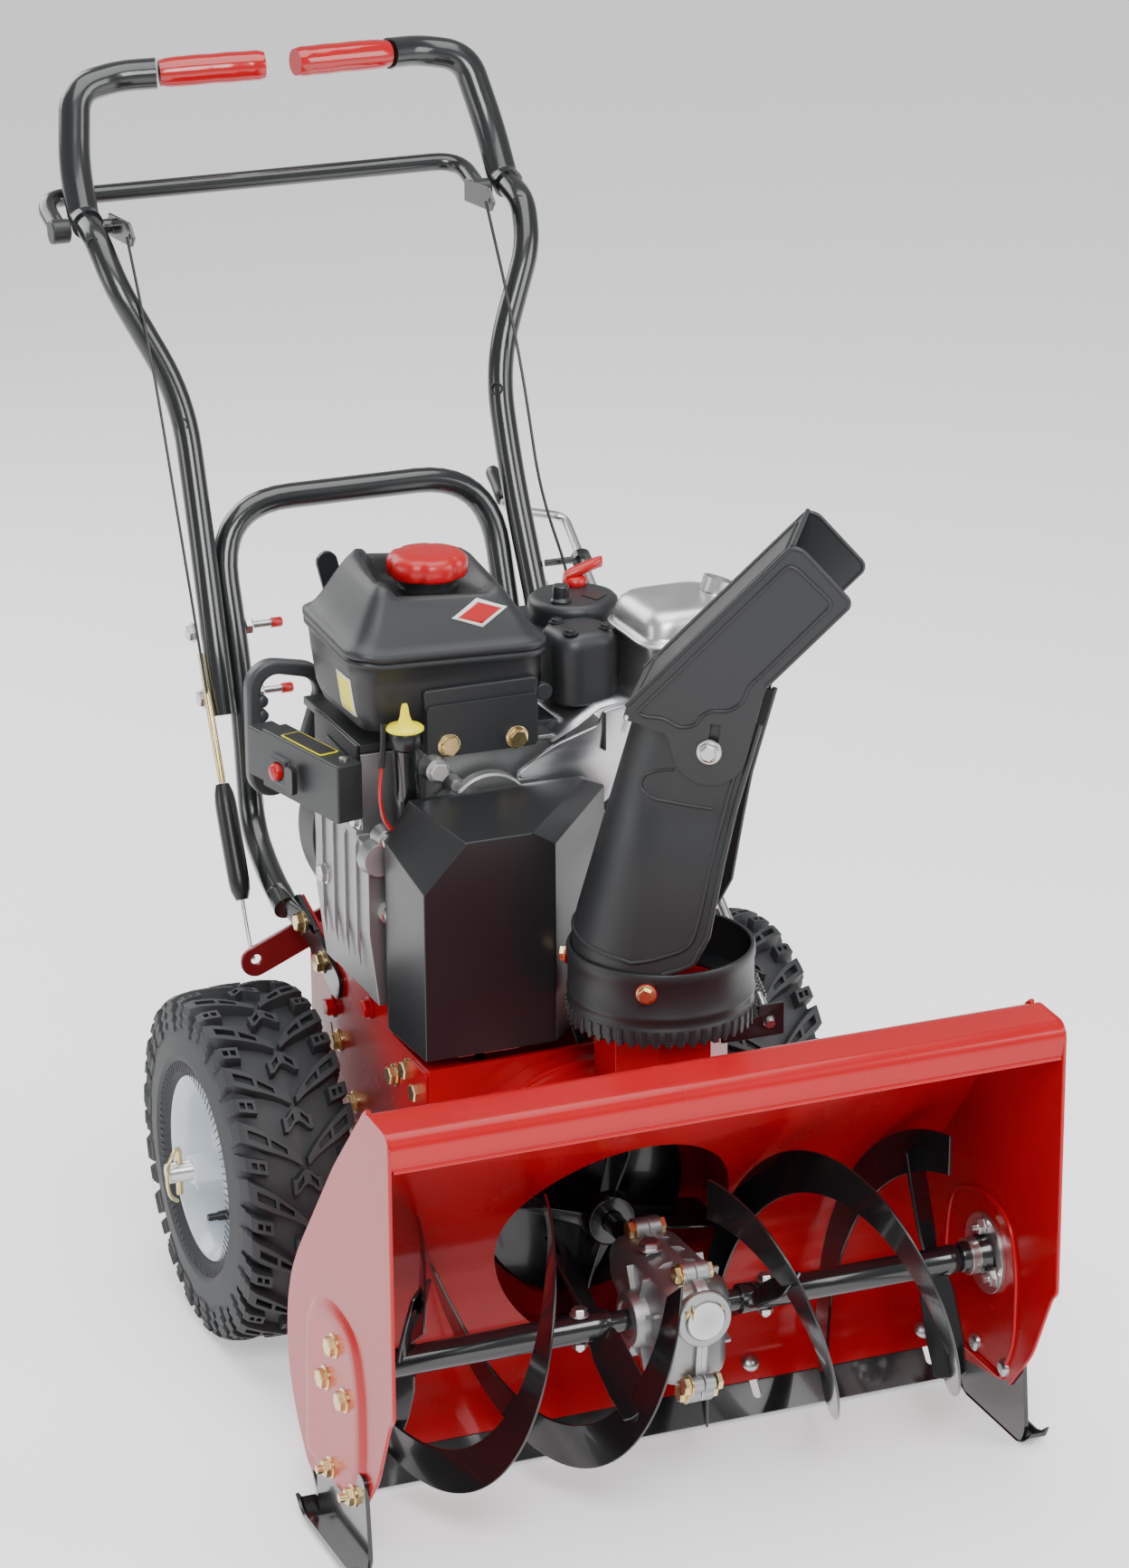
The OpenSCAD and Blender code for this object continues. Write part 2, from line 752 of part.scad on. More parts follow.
module shell_loft(levels, t) {
  rows = len(levels);
  n = len(chute_section(0, 1, 1, 0));
  outer = [for (l = levels) each [for (p = chute_section(l[1], l[2], l[3], 0)) [p[0], p[1], l[0]]]];
  inner = [for (l = levels) each [for (p = chute_section(l[1], l[2], l[3], t)) [p[0], p[1], l[0]]]];
  m = rows * n;
  skin_faces = [for (i = [0:rows - 2], k = [0:n - 2]) let (a = i * n + k)
    each [[a, a + n, a + 1], [a + 1, a + n, a + n + 1],
      [m + a, m + a + 1, m + a + n], [m + a + 1, m + a + n + 1, m + a + n]]];
  rim_faces = [for (k = [0:n - 2]) let (a = k, b = (rows - 1) * n + k)
    each [[a, a + 1, m + a], [a + 1, m + a + 1, m + a],
      [b, m + b, b + 1], [b + 1, m + b, m + b + 1]]];
  edge_faces = [for (i = [0:rows - 2]) let (a = i * n, b = i * n + n - 1)
    each [[a, m + a, a + n], [a + n, m + a, m + a + n],
      [b, b + n, m + b], [b + n, m + b + n, m + b]]];
  polyhedron(concat(outer, inner), concat(skin_faces, rim_faces, edge_faces));
}

module at_chute() {
  translate([chute_x, chute_y, 0]) rotate([0, 0, chute_turn]) children();
}

module chute() {
  color("#26282a") placed() at_chute() {
    difference() {
      shell_loft(chute_levels, 3);
      translate([50, 0, 639]) rotate([90, 0, 0]) cylinder(h = 200, r = 4.1, center = true);
      for (a = [-90, 90, 180]) rotate([0, 0, a]) translate([60, 0, 424]) rotate([0, 90, 0])
        cylinder(h = 40, r = 4.1);
    }
  }
}

module chute_bolts() {
  color("goldenrod") placed() at_chute() {
    for (a = [-90, 90, 180]) rotate([0, 0, a]) translate([ring_r, 0, 424]) rotate([0, 90, 0]) {
      cylinder(h = 1.5, r = 8);
      translate([0, 0, 1.5]) cylinder(h = 4.5, r = 6.5, $fn = 6);
      translate([0, 0, -10]) cylinder(h = 10, r = 4);
    }
    for (s = [-1, 1]) translate([50, s * 55, 639]) rotate([-s * 90, 0, 0]) {
      cylinder(h = 1.5, r = 11);
      translate([0, 0, 1.5]) cylinder(h = 5, r = 7, $fn = 6);
      translate([0, 0, -9]) cylinder(h = 9, r = 4);
    }
    translate([hinge_s, -51.5, hinge_z]) rotate([-90, 0, 0]) cylinder(h = 103, r = 2);
  }
}

module deflector_side() {
  lobe = [for (a = [-20:-20:-160]) [50, 641] + 33 * [cos(a), sin(a)]];
  tip = deflector_root + deflector_len * [cos(deflector_rise), sin(deflector_rise)];
  rotate([90, 0, 0]) linear_extrude(2.5) difference() {
    polygon(concat([deflector_root, tip, [128, 823], [168, 780], [168, 774], [98, 700]],
      lobe, [[-14, 662], [-25, 664]]));
    translate([hinge_s, hinge_z]) polygon(concat([for (a = [-26.4:2.2:-2.2]) 80 * [cos(a), sin(a)]],
      [for (a = [-2.2:-2.2:-26.4]) 70.8 * [cos(a), sin(a)]]));
  }
}

module deflector() {
  rise = [cos(deflector_rise), sin(deflector_rise)];
  under = [rise[1], -rise[0]] * sheet_t;
  color("#26282a") placed() at_chute() {
    translate([0, -52, 0]) deflector_side();
    translate([0, 54.5, 0]) deflector_side();
    translate([0, 54.5, 0]) rotate([90, 0, 0]) linear_extrude(109)
      polygon([deflector_root, deflector_root + deflector_len * rise,
        deflector_root + (deflector_len - 2) * rise + under, deflector_root + 2 * rise + under]);
  }
}

module chute_crank() {
  axis = unit(crank_bend - crank_foot);
  color("silver") placed() {
    tube(rounded([crank_foot, crank_foot + 300 * axis, crank_bend, crank_bend + crank_arm,
      crank_bend + crank_arm + 60 * axis], 14, 4), 4.5);
    along_crank(272) cylinder(h = 30, r = 6);
    translate(crank_bend + crank_arm + 14 * axis) rotate([-68.3, 0, -7]) cylinder(h = 50, r = 7.5);
  }
}

module bail() {
  color("#2e3133") placed() {
    tube(rounded(bail_route, 45, 6), 9);
    rod_x(-252, -234, pivot_y, pivot_z, 12);
    rod_x(181, 199, pivot_y, pivot_z, 12);
  }
}

module clutch_arm(x0) {
  difference() {
    across(x0, x0 + 3) polygon([[1054, 930], [1054, 952], [990, 956], [976, 944], [984, 934]]);
    rod_x(x0 - 5, x0 + 8, 985, 944, 3);
  }
}

module clutch_arms() {
  color("#2e3133") placed() {
    clutch_arm(-191);
    rod_x(-200, -191, pivot_y, pivot_z, 8);
    clutch_arm(177);
    rod_x(180, 181, pivot_y, pivot_z, 8);
  }
}

module traction_cable() {
  color("silver") placed() {
    tube([cable_top, [-193, 940, 868], [-190, 915, 800], cable_foot + [0, 98, 200]], 1.5, 8);
    tube([cable_foot + [0, 98, 200], cable_foot + [0, 72, 146]], 3.5, 8);
    tube([cable_foot + [0, 22, 46], cable_foot + [0, 6, 12], cable_foot], 2, 8);
  }
}

module cable_boot() {
  color("#202224") placed()
    tube([cable_foot + [0, 71.5, 145.5], cable_foot + [0, 47, 96], cable_foot + [0, 22.5, 46.5]],
      10, 16);
}

module auger_cable() {
  color("#202224") placed()
    tube([[173, 985, 944], [175, 935, 860], [178, 905, 790], [180, 866, 680], [198, 838, 600],
      [200, 828, 540], [190, 780, 430], [176, 720, 330]], 1.5, 8);
}

module traction_lever() {
  color("#7c1016") placed() difference() {
    union() {
      along(700, 705) hull() {
        translate([-100, 338]) circle(r = 15, $fn = 32);
        translate([-180, 304]) circle(r = 15, $fn = 32);
      }
      rod_y(frame_rear + 0.3, 700, -100, 338, 8);
    }
    rod_y(690, 710, -180, 306, 5);
    rod_y(650, 710, -100, 338, 4.05);
  }
}

// D-shaped pull grip lying across the machine behind the blower housing
module recoil_grip() {
  color("#4a4d50") placed() along(634, 650) difference() {
    hull() {
      translate([-177, 597]) circle(r = 26, $fn = 32);
      translate([-180, 515]) circle(r = 23, $fn = 32);
      translate([-152, 590]) circle(r = 28, $fn = 32);
      translate([-158, 530]) circle(r = 15, $fn = 32);
    }
    hull() {
      translate([-174, 594]) circle(r = 15, $fn = 32);
      translate([-176, 525]) circle(r = 12, $fn = 32);
      translate([-153, 588]) circle(r = 16, $fn = 32);
      translate([-162, 536]) circle(r = 8, $fn = 32);
    }
  }
}

module fuel_cap() {
  color("red") placed() {
    difference() {
      rod_z(722.5, 744, -65, 531, 37);
      rod_z(715, 723, -65, 531, 26.5);
    }
    rod_z(706, 723, -65, 531, 20.5);
  }
}

module dipstick_cap() {
  color("gold") placed() translate([-124, 436, 612.3]) {
    cylinder(h = 5, r = 17);
    translate([-8, -2, 5]) cube([16, 4, 20]);
  }
}

module throttle_lever() {
  color("red") placed() {
    rod_z(676.3, 684, 100, 585, 12);
    translate([92, 580, 684]) cube([30, 9, 9]);
  }
}

module starter_button() {
  color("red") placed() at_box() rod_x(-23, -10, 21, 549, 7.9);
}

module speed_lever() {
  color("#2e3133") placed() {
    along(674, 679) hull() {
      translate([-20, 330]) circle(r = 10, $fn = 32);
      translate([-109, 698]) circle(r = 10, $fn = 32);
    }
    rod_y(frame_rear + 0.3, 674, -20, 330, 9);
  }
}

auger_housing();
side_plate_left();
side_plate_right();
impeller_drum();
chute_stand();
scraper_bar();
skid_shoe_left();
skid_shoe_right();
bearings();
chassis_bolts();
gearbox_left();
gearbox_right();
frame_box();
belt_cover();
crankcase();
cylinder_shield();
blower_shroud();
recoil_housing();
fuel_tank();
carb_cover();
muffler();
starter_box();
dipstick_tube();
lower_handle();
upper_handle_left();
upper_handle_right();
handle_loops();
hand_grips();
handle_bolts();
crank_brackets();
drive_belt();
auger_shaft();
auger_flight_left();
auger_flight_right();
impeller();
impeller_pulley();
engine_pulley();
drive_axle();
rim_left();
rim_right();
tyre_left();
tyre_right();
axle_pins();
chute_ring();
chute();
chute_bolts();
deflector();
chute_crank();
bail();
clutch_arms();
traction_cable();
cable_boot();
auger_cable();
traction_lever();
recoil_grip();
fuel_cap();
dipstick_cap();
throttle_lever();
starter_button();
speed_lever();
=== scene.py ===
import json
from math import cos, degrees, hypot, pi, radians, sin

import bmesh
import bpy
from mathutils import Matrix, Vector
from mathutils.bvhtree import BVHTree
from mathutils.geometry import tessellate_polygon


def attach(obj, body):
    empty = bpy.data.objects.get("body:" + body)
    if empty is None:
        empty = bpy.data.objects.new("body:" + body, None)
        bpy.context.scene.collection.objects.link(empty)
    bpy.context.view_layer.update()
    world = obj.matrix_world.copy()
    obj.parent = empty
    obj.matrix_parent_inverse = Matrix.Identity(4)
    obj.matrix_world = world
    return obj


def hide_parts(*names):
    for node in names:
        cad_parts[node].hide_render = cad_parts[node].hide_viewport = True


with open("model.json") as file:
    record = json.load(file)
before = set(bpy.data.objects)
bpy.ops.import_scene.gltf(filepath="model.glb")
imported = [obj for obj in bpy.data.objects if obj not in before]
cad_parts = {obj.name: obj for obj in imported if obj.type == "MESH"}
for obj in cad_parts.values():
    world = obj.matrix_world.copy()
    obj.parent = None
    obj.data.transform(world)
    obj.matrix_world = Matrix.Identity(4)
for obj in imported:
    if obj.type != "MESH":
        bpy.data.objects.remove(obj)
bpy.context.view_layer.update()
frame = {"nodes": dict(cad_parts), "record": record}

# Places are written in millimetres from the housing's front plane; MID_Y centres them front to back
MM = 0.001
MID_Y = 568.5
TAU = 2 * pi
X, Y, Z = Vector((1, 0, 0)), Vector((0, 1, 0)), Vector((0, 0, 1))
SIDES = ((-1, "left"), (1, "right"))

# Axes and centres that several pieces share: (y, z) of the cross axes, (x, y) of the upright ones
AUGER = (127, 160)
DRUM_Z = 188
AXLE = (565, 165)
TRACK = 235
CHUTE_AXIS = (55, 281)
FILLER = (-65, 531)
DIPSTICK = (-124, 436)
BODY_OF = {n: b for b, ns in frame["record"]["behaviour"]["bodies"].items() for n in ns}
SLOT_OF = {s["node"]: s["material_slot"] for s in frame["record"]["subparts"]}


def V(x, y, z):
    return Vector((x, y - MID_Y, z)) * MM


def at_x(x, outline):
    return [V(x, y, z) for y, z in outline]


def at_y(y, outline):
    return [V(x, y, z) for x, z in outline]


def at_z(z, outline):
    return [V(x, y, z) for x, y in outline]


def turns(n):
    """Angles of n equal steps round a full turn."""
    return [TAU * k / n for k in range(n)]


def arc(centre, wide, tall, angles):
    """Flat points on a circle, or an oval, about a centre."""
    return [(centre[0] + wide * cos(a), centre[1] + tall * sin(a)) for a in angles]


# ---------------------------------------------------------------- materials
def material(name, color, rough, metal=0.0, coat=0.0, vary=0.08, patch=9.0, grain=900.0, bump=0.04,
             depth=0.0006, rough_vary=0.08, wear=0.0, wear_color=(0.5, 0.5, 0.5), stretch=(1, 1, 1)):
    """A surface with slow change in colour and roughness, fine grain in the bump, and worn edges."""
    m = bpy.data.materials.new(name)
    m.use_nodes = True
    tree = m.node_tree
    link = tree.links.new

    def node(kind, **inputs):
        made = tree.nodes.new("ShaderNode" + kind)
        for key, value in inputs.items():
            made.inputs[key.replace("_", " ")].default_value = value
        return made

    def blend(factor, first, second):
        """Mixes a colour, given or linked, with a second one."""
        mix = node("Mix")
        mix.data_type = "RGBA"
        mix.inputs["B"].default_value = (*second, 1)
        link(factor, mix.inputs["Factor"])
        if isinstance(first, tuple):
            mix.inputs["A"].default_value = (*first, 1)
        else:
            link(first, mix.inputs["A"])
        return mix.outputs["Result"]

    p = tree.nodes["Principled BSDF"]
    p.inputs["Metallic"].default_value = metal
    p.inputs["Coat Weight"].default_value = coat
    p.inputs["Coat Roughness"].default_value = 0.06
    scale = node("Mapping", Scale=stretch)
    link(node("TexCoord").outputs["Object"], scale.inputs["Vector"])
    slow, fine = node("TexNoise", Scale=patch, Detail=5), node("TexNoise", Scale=grain, Detail=3)
    for texture in (slow, fine):
        link(scale.outputs["Vector"], texture.inputs["Vector"])
    colour = blend(slow.outputs["Fac"], tuple(c * (1 - vary) for c in color),
                   tuple(min(1, c * (1 + vary)) for c in color))
    if wear:
        edge = node("MapRange", From_Min=0.54, From_Max=0.62, To_Max=wear)
        link(node("NewGeometry").outputs["Pointiness"], edge.inputs["Value"])
        colour = blend(edge.outputs["Result"], colour, wear_color)
    link(colour, p.inputs["Base Color"])
    span = node("MapRange", To_Min=max(0.02, rough - rough_vary), To_Max=rough + rough_vary)
    link(slow.outputs["Fac"], span.inputs["Value"])
    link(span.outputs["Result"], p.inputs["Roughness"])
    dents = node("Bump", Strength=bump, Distance=depth)
    link(fine.outputs["Fac"], dents.inputs["Height"])
    link(dents.outputs["Normal"], p.inputs["Normal"])
    return m


RED = material("red_enamel", (0.4, 0.0005, 0.005), 0.28, coat=0.2, vary=0.06, grain=260, bump=0.03,
               wear=0.2, wear_color=(0.6, 0.03, 0.03))
red_shader = next(n for n in RED.node_tree.nodes if n.type == "BSDF_PRINCIPLED")
red_shader.inputs["Specular IOR Level"].default_value = 0.28
# dark red enamel of the traction lever, also used as painted shade in the frame's slots
DARK_RED_PAINT_AND_SHADE = material("dark_red_enamel_and_painted_shade", (0.2, 0.008, 0.012), 0.35, coat=0.3, grain=300)
BLACK = material("black_enamel", (0.008, 0.009, 0.010), 0.2, coat=0.5, grain=320, bump=0.03,
                 wear=0.3, wear_color=(0.06, 0.065, 0.07))
TUBE = material("handle_enamel", (0.010, 0.012, 0.013), 0.22, coat=0.5, grain=300, bump=0.02)
PLASTIC = material("moulded_plastic", (0.017, 0.019, 0.021), 0.42, grain=1400, bump=0.12, vary=0.12)
SMOOTH_PLASTIC = material("smooth_plastic", (0.013, 0.014, 0.016), 0.3, grain=700, bump=0.05, vary=0.12)
GREY_PLASTIC = material("grey_plastic", (0.04, 0.043, 0.047), 0.45, grain=1200, bump=0.12)
RUBBER = material("tyre_rubber", (0.022, 0.024, 0.027), 0.62, grain=1500, bump=0.25, vary=0.2,
                  wear=0.25, wear_color=(0.07, 0.073, 0.078))
SOFT_BLACK = material("soft_rubber", (0.012, 0.012, 0.013), 0.3, grain=900, bump=0.05)
RIM = material("rim_enamel", (0.62, 0.68, 0.74), 0.28, coat=0.4, grain=300, vary=0.04, wear=0.2)
CAST = material("cast_aluminium", (0.34, 0.345, 0.35), 0.4, metal=0.9, grain=1300, bump=0.45, vary=0.14,
                wear=0.6, wear_color=(0.8, 0.8, 0.8))
SHEET_METAL = material("bright_sheet", (0.5, 0.51, 0.53), 0.3, metal=0.95, grain=500, bump=0.05,
                       stretch=(1, 1, 12), vary=0.08)
MUFFLER = material("aluminised_steel", (0.64, 0.64, 0.64), 0.34, metal=0.95, grain=700, bump=0.12,
                   vary=0.12, patch=30)
ZINC = material("zinc_steel", (0.55, 0.55, 0.54), 0.28, metal=0.95, grain=900, bump=0.08, vary=0.15)
YELLOW_ZINC = material("yellow_zinc", (0.72, 0.56, 0.28), 0.25, metal=0.95, grain=900, bump=0.06,
                       vary=0.3, patch=60)
VINYL = material("red_vinyl", (0.4, 0.0005, 0.005), 0.16, coat=0.4, grain=120, bump=0.08)
RED_PLASTIC = material("red_plastic", (0.42, 0.0005, 0.004), 0.3, grain=900, bump=0.08)
YELLOW = material("yellow_plastic", (0.95, 0.82, 0.005), 0.35, grain=800, bump=0.06)
LABEL = material("blank_label", (0.72, 0.72, 0.7), 0.4, grain=600, bump=0.02)
# near-black for printed marks, also laid as painted shade in the air guide's slit and the shroud's cooling
# slots
DARK_PRINT_AND_SHADE = material("dark_print_and_painted_shade", (0.02, 0.02, 0.02), 0.35, grain=600, bump=0.02)

SLOT_MATERIAL = {
    "red_paint": RED, "black_paint": BLACK, "dark_red_paint": DARK_RED_PAINT_AND_SHADE, "zinc": ZINC,
    "yellow_zinc": YELLOW_ZINC, "cast_aluminium": CAST, "rim_paint": RIM, "tyre_rubber": RUBBER,
    "black_plastic": PLASTIC, "grey_plastic": GREY_PLASTIC, "belt_rubber": RUBBER,
    "boot_rubber": SOFT_BLACK, "red_vinyl": VINYL, "red_plastic": RED_PLASTIC,
    "yellow_plastic": YELLOW, "muffler_steel": MUFFLER,
}
LOOK_SLOT = {m.name: slot for slot, m in reversed(SLOT_MATERIAL.items())}
LOOK_SLOT |= {TUBE.name: "black_paint", SMOOTH_PLASTIC.name: "black_plastic", SHEET_METAL.name: "zinc",
              LABEL.name: "grey_plastic", DARK_PRINT_AND_SHADE.name: "black_plastic"}


# ---------------------------------------------------------------- making pieces
def modifier(ob, kind, **values):
    m = ob.modifiers.new(kind.lower(), kind)
    for k, v in values.items():
        setattr(m, k, v)
    return m


def bevel(ob, width, segments=3, angle=35):
    modifier(ob, "BEVEL", width=width * MM, segments=segments, limit_method="ANGLE",
        angle_limit=radians(angle), harden_normals=False)
    modifier(ob, "WEIGHTED_NORMAL", keep_sharp=True)


def mesh_of(shape):
    """A bmesh of one (verts, faces) pair, or of a list of such pairs."""
    bm = bmesh.new()
    pairs = shape if isinstance(shape, list) else [shape]
    loose = [[bm.verts.new(v) for v in verts] for verts, _ in pairs]
    for vs, (_, faces) in zip(loose, pairs):
        for f in faces:
            if len(set(f)) >= 3:
                try:
                    bm.faces.new([vs[i] for i in f])
                except ValueError:
                    pass
    return bm


def piece(name, shape, mat, body="chassis", node=None, sharp=40, round_edges=0, slot=None):
    """Shows a shape as a piece that rides on a body and may stand for a CAD node."""
    bm = shape if isinstance(shape, bmesh.types.BMesh) else mesh_of(shape)
    bmesh.ops.recalc_face_normals(bm, faces=bm.faces)
    for f in bm.faces:
        f.smooth = True
    for e in bm.edges:
        if len(e.link_faces) == 2 and e.calc_face_angle(0) > radians(sharp):
            e.smooth = False
    me = bpy.data.meshes.new(name)
    bm.to_mesh(me)
    bm.free()
    ob = bpy.data.objects.new(name, me)
    bpy.context.scene.collection.objects.link(ob)
    me.materials.append(mat)
    if round_edges:
        for e in me.edges:
            e.use_edge_sharp = False
        bevel(ob, round_edges, 3, sharp)
    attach(ob, body)
    if node:
        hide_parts(node)
    return ob


def unit(v):
    return v.normalized()


def headings(path, closed=False):
    n = len(path)
    if closed:
        return [unit(path[(i + 1) % n] - path[i - 1]) for i in range(n)]
    return [unit(path[min(i + 1, n - 1)] - path[max(i - 1, 0)]) for i in range(n)]


def rounded(points, reach, steps=8):
    """The points with each corner turned into a smooth bend that starts reach before it."""
    out = [points[0]]
    for a, b, c in zip(points, points[1:], points[2:]):
        e = min(reach * MM, (a - b).length * 0.48, (c - b).length * 0.48)
        s, f = b + e * unit(a - b), b + e * unit(c - b)
        out += [(1 - t) ** 2 * s + 2 * t * (1 - t) * b + t * t * f
                for t in [k / steps for k in range(steps + 1)]]
    return out + [points[-1]]


def tube(path, radius, sides=24, closed=False):
    """(verts, faces) of a round tube; radius is in mm and may be a list, one value a point."""
    n = len(path)
    radii = radius if isinstance(radius, (list, tuple)) else [radius] * n
    t = headings(path, closed)
    u = X if abs(t[0].x) < 0.8 else Z
    verts, faces = [], []
    for i in range(n):
        u = unit(u - u.dot(t[i]) * t[i])
        w = t[i].cross(u)
        for k in range(sides):
            a = TAU * k / sides
            verts.append(path[i] + radii[i] * MM * (cos(a) * u + sin(a) * w))
    for i in range(n if closed else n - 1):
        j = (i + 1) % n
        for k in range(sides):
            m = (k + 1) % sides
            faces.append([i * sides + k, i * sides + m, j * sides + m, j * sides + k])
    if not closed:
        faces += [list(range(sides))[::-1], [(n - 1) * sides + k for k in range(sides)]]
    return verts, faces


def lathe(profile, centre, axis, sides=48, closed=False, start=None, sweep=TAU):
    """(verts, faces) of a turned shape; profile is (radius, height along the axis) in mm."""
    axis = unit(Vector(axis))
    u = unit(start or axis.orthogonal())
    w = axis.cross(u)
    rings = sides if abs(sweep - TAU) < 1e-6 else sides + 1
    angles = [sweep * k / sides for k in range(rings)]
    verts = [centre + MM * (h * axis + r * (cos(a) * u + sin(a) * w)) for a in angles for r, h in profile]
    m = len(profile)
    faces = []
    for k in range(sides):
        j = (k + 1) % rings
        for i in range(m if closed else m - 1):
            i2 = (i + 1) % m
            faces.append([k * m + i, j * m + i, j * m + i2, k * m + i2])
    return verts, faces


def prism(outline, direction, holes=()):
    """(verts, faces) of an outline of 3-D points pushed along a direction, with holes through it."""
    loops = [list(outline), *map(list, holes)]
    flat = [p for l in loops for p in l]
    n = len(flat)
    tris = tessellate_polygon(loops)
    verts = flat + [p + direction for p in flat]
    faces = [list(t) for t in tris] + [[i + n for i in t[::-1]] for t in tris]
    base = 0
    for l in loops:
        m = len(l)
        faces += [[base + i, base + (i + 1) % m, base + (i + 1) % m + n, base + i + n] for i in range(m)]
        base += m
    return verts, faces


def loft(sections, close=True, caps=True):
    """(verts, faces) of a skin over closed or open rings with equal numbers of points."""
    m = len(sections[0])
    verts = [p for s in sections for p in s]
    faces = []
    for i in range(len(sections) - 1):
        for k in range(m if close else m - 1):
            j = (k + 1) % m
            faces.append([i * m + k, i * m + j, (i + 1) * m + j, (i + 1) * m + k])
    if caps:
        faces += [list(range(m))[::-1], [(len(sections) - 1) * m + k for k in range(m)]]
    return verts, faces


def circle(centre, u, w, radius, sides=20):
    return [centre + radius * MM * (cos(TAU * k / sides) * u + sin(TAU * k / sides) * w)
        for k in range(sides)]


def rounded_outline(points, radius, steps=4):
    """A closed 2-D outline with its corners rounded; points may carry their own radius."""
    out, n = [], len(points)
    for i, p in enumerate(points):
        r = p[2] if len(p) > 2 else radius
        b = Vector(p[:2])
        a, c = Vector(points[i - 1][:2]), Vector(points[(i + 1) % n][:2])
        e = min(r, (a - b).length * 0.49, (c - b).length * 0.49)
        s, f = b + e * unit(a - b), b + e * unit(c - b)
        out += [(1 - t) ** 2 * s + 2 * t * (1 - t) * b + t * t * f
                for t in [k / steps for k in range(steps + 1)]]
    return out


def hex_bolt(at, axis, size=4.2, head=5.4, washer=True, shank=0):
    """(verts, faces) of a hexagon head with a round flange, its washer face at the given point."""
    axis = unit(Vector(axis))
    u = unit(axis.orthogonal())
    w = axis.cross(u)
    r = 2 * size
    rings = []
    if washer:
        for h, k in ((0, r + 1.8), (1.0, r + 1.8), (1.7, r + 0.3)):
            rings.append(circle(at + h * MM * axis, u, w, k, 24))
    base = 1.7 if washer else 0
    hexagon = lambda k, scale: scale * r * cos(TAU / 12) / cos(TAU * k / 24 % (TAU / 6) - TAU / 12)
    for h, scale in ((base, 1.0), (base + head * 0.82, 1.0), (base + head, 0.86), (base + head, 0.3)):
        rings.append([at + MM * (h * axis + hexagon(k, scale) * (cos(a) * u + sin(a) * w))
                      for k, a in enumerate(turns(24))])
    verts, faces = loft(rings)
    if shank:
        v, f = tube([at - shank * MM * axis, at], size, 16)
        faces += [[i + len(verts) for i in q] for q in f]
        verts = verts + v
    return verts, faces


def cad_copy(node, mat=None, round_edges=0.8, sharp=30):
    """A cleaned copy of a CAD node's own shape, with rounded edges, standing for that node."""
    bm = bmesh.new()
    bm.from_mesh(frame["nodes"][node].data)
    bmesh.ops.remove_doubles(bm, verts=bm.verts, dist=1e-5)
    bmesh.ops.dissolve_limit(bm, angle_limit=radians(0.5), verts=bm.verts, edges=bm.edges)
    return piece(node + "_look", bm, mat or SLOT_MATERIAL[SLOT_OF[node]], BODY_OF[node], node=node,
                 round_edges=round_edges, sharp=sharp)


def cut(ob, cutter):
    """Cuts a closed (verts, faces) shape out of a piece for good."""
    tool_mesh = bpy.data.meshes.new("cutter")
    bm = mesh_of(cutter)
    bmesh.ops.recalc_face_normals(bm, faces=bm.faces)
    bm.to_mesh(tool_mesh)
    bm.free()
    tool = bpy.data.objects.new("cutter", tool_mesh)
    bpy.context.scene.collection.objects.link(tool)
    held = list(ob.modifiers)
    m = ob.modifiers.new("cut", "BOOLEAN")
    m.object, m.solver = tool, "EXACT"
    for other in held:
        other.show_viewport = False
    bpy.context.view_layer.update()
    result = bpy.data.meshes.new_from_object(ob.evaluated_get(bpy.context.evaluated_depsgraph_get()))
    ob.modifiers.remove(m)
    ob.data = result
    for other in held:
        other.show_viewport = True
    bpy.data.objects.remove(tool)


# ---------------------------------------------------------------- camera and light
def camera_and_light():
    elevation, azimuth, roll = (radians(a) for a in (19.757, 22.223, -0.373))
    ahead = Vector((sin(azimuth) * cos(elevation), cos(azimuth) * cos(elevation), -sin(elevation)))
    side = Vector((cos(azimuth), -sin(azimuth), 0))
    over = side.cross(ahead)
    right = cos(roll) * side + sin(roll) * over
    up = -sin(roll) * side + cos(roll) * over
    data = bpy.data.cameras.new("camera")
    data.lens, data.sensor_width = 113.85, 36
    cam = bpy.data.objects.new("camera", data)
    cam.matrix_world = Matrix.Translation(V(-1558.4, -3446.3, 2046.7)) @ Matrix(
        (right, up, -ahead)).transposed().to_4x4()
    bpy.context.scene.collection.objects.link(cam)
    bpy.context.scene.camera = cam
    lamps = (("key", (-700, -2200, 2700), 1.5, 90), ("fill", (2300, -1500, 1900), 1.8, 60),
             ("top", (100, 500, 3000), 2.2, 62), ("rear", (-900, 2900, 1900), 1.8, 45),
             ("low", (-2600, 900, 1100), 1.0, 12))
    for name, place, size, power in lamps:
        light = bpy.data.lights.new(name, "AREA")
        light.size, light.energy = size, power
        ob = bpy.data.objects.new(name, light)
        ob.location = V(*place)
        ob.rotation_euler = (V(0, 520, 450) - ob.location).to_track_quat("-Z", "Y").to_euler()
        bpy.context.scene.collection.objects.link(ob)
    world = bpy.data.worlds.new("studio")
    world.use_nodes = True
    world.node_tree.nodes["Background"].inputs["Color"].default_value = (1, 1, 1, 1)
    world.node_tree.nodes["Background"].inputs["Strength"].default_value = 0.42
    bpy.context.scene.world = world
    bm = bmesh.new()
    bmesh.ops.create_grid(bm, x_segments=1, y_segments=1, size=14)
    me = bpy.data.meshes.new("floor")
    bm.to_mesh(me)
    bm.free()
    floor = bpy.data.objects.new("floor", me)
    paper = material("studio_floor", (0.93, 0.93, 0.93), 0.95, vary=0.01, grain=50, bump=0.01)
    glow = next(n for n in paper.node_tree.nodes if n.type == "BSDF_PRINCIPLED")
    glow.inputs["Emission Color"].default_value = (1, 1, 1, 1)
    glow.inputs["Emission Strength"].default_value = 0.55
    me.materials.append(paper)
    bpy.context.scene.collection.objects.link(floor)


camera_and_light()

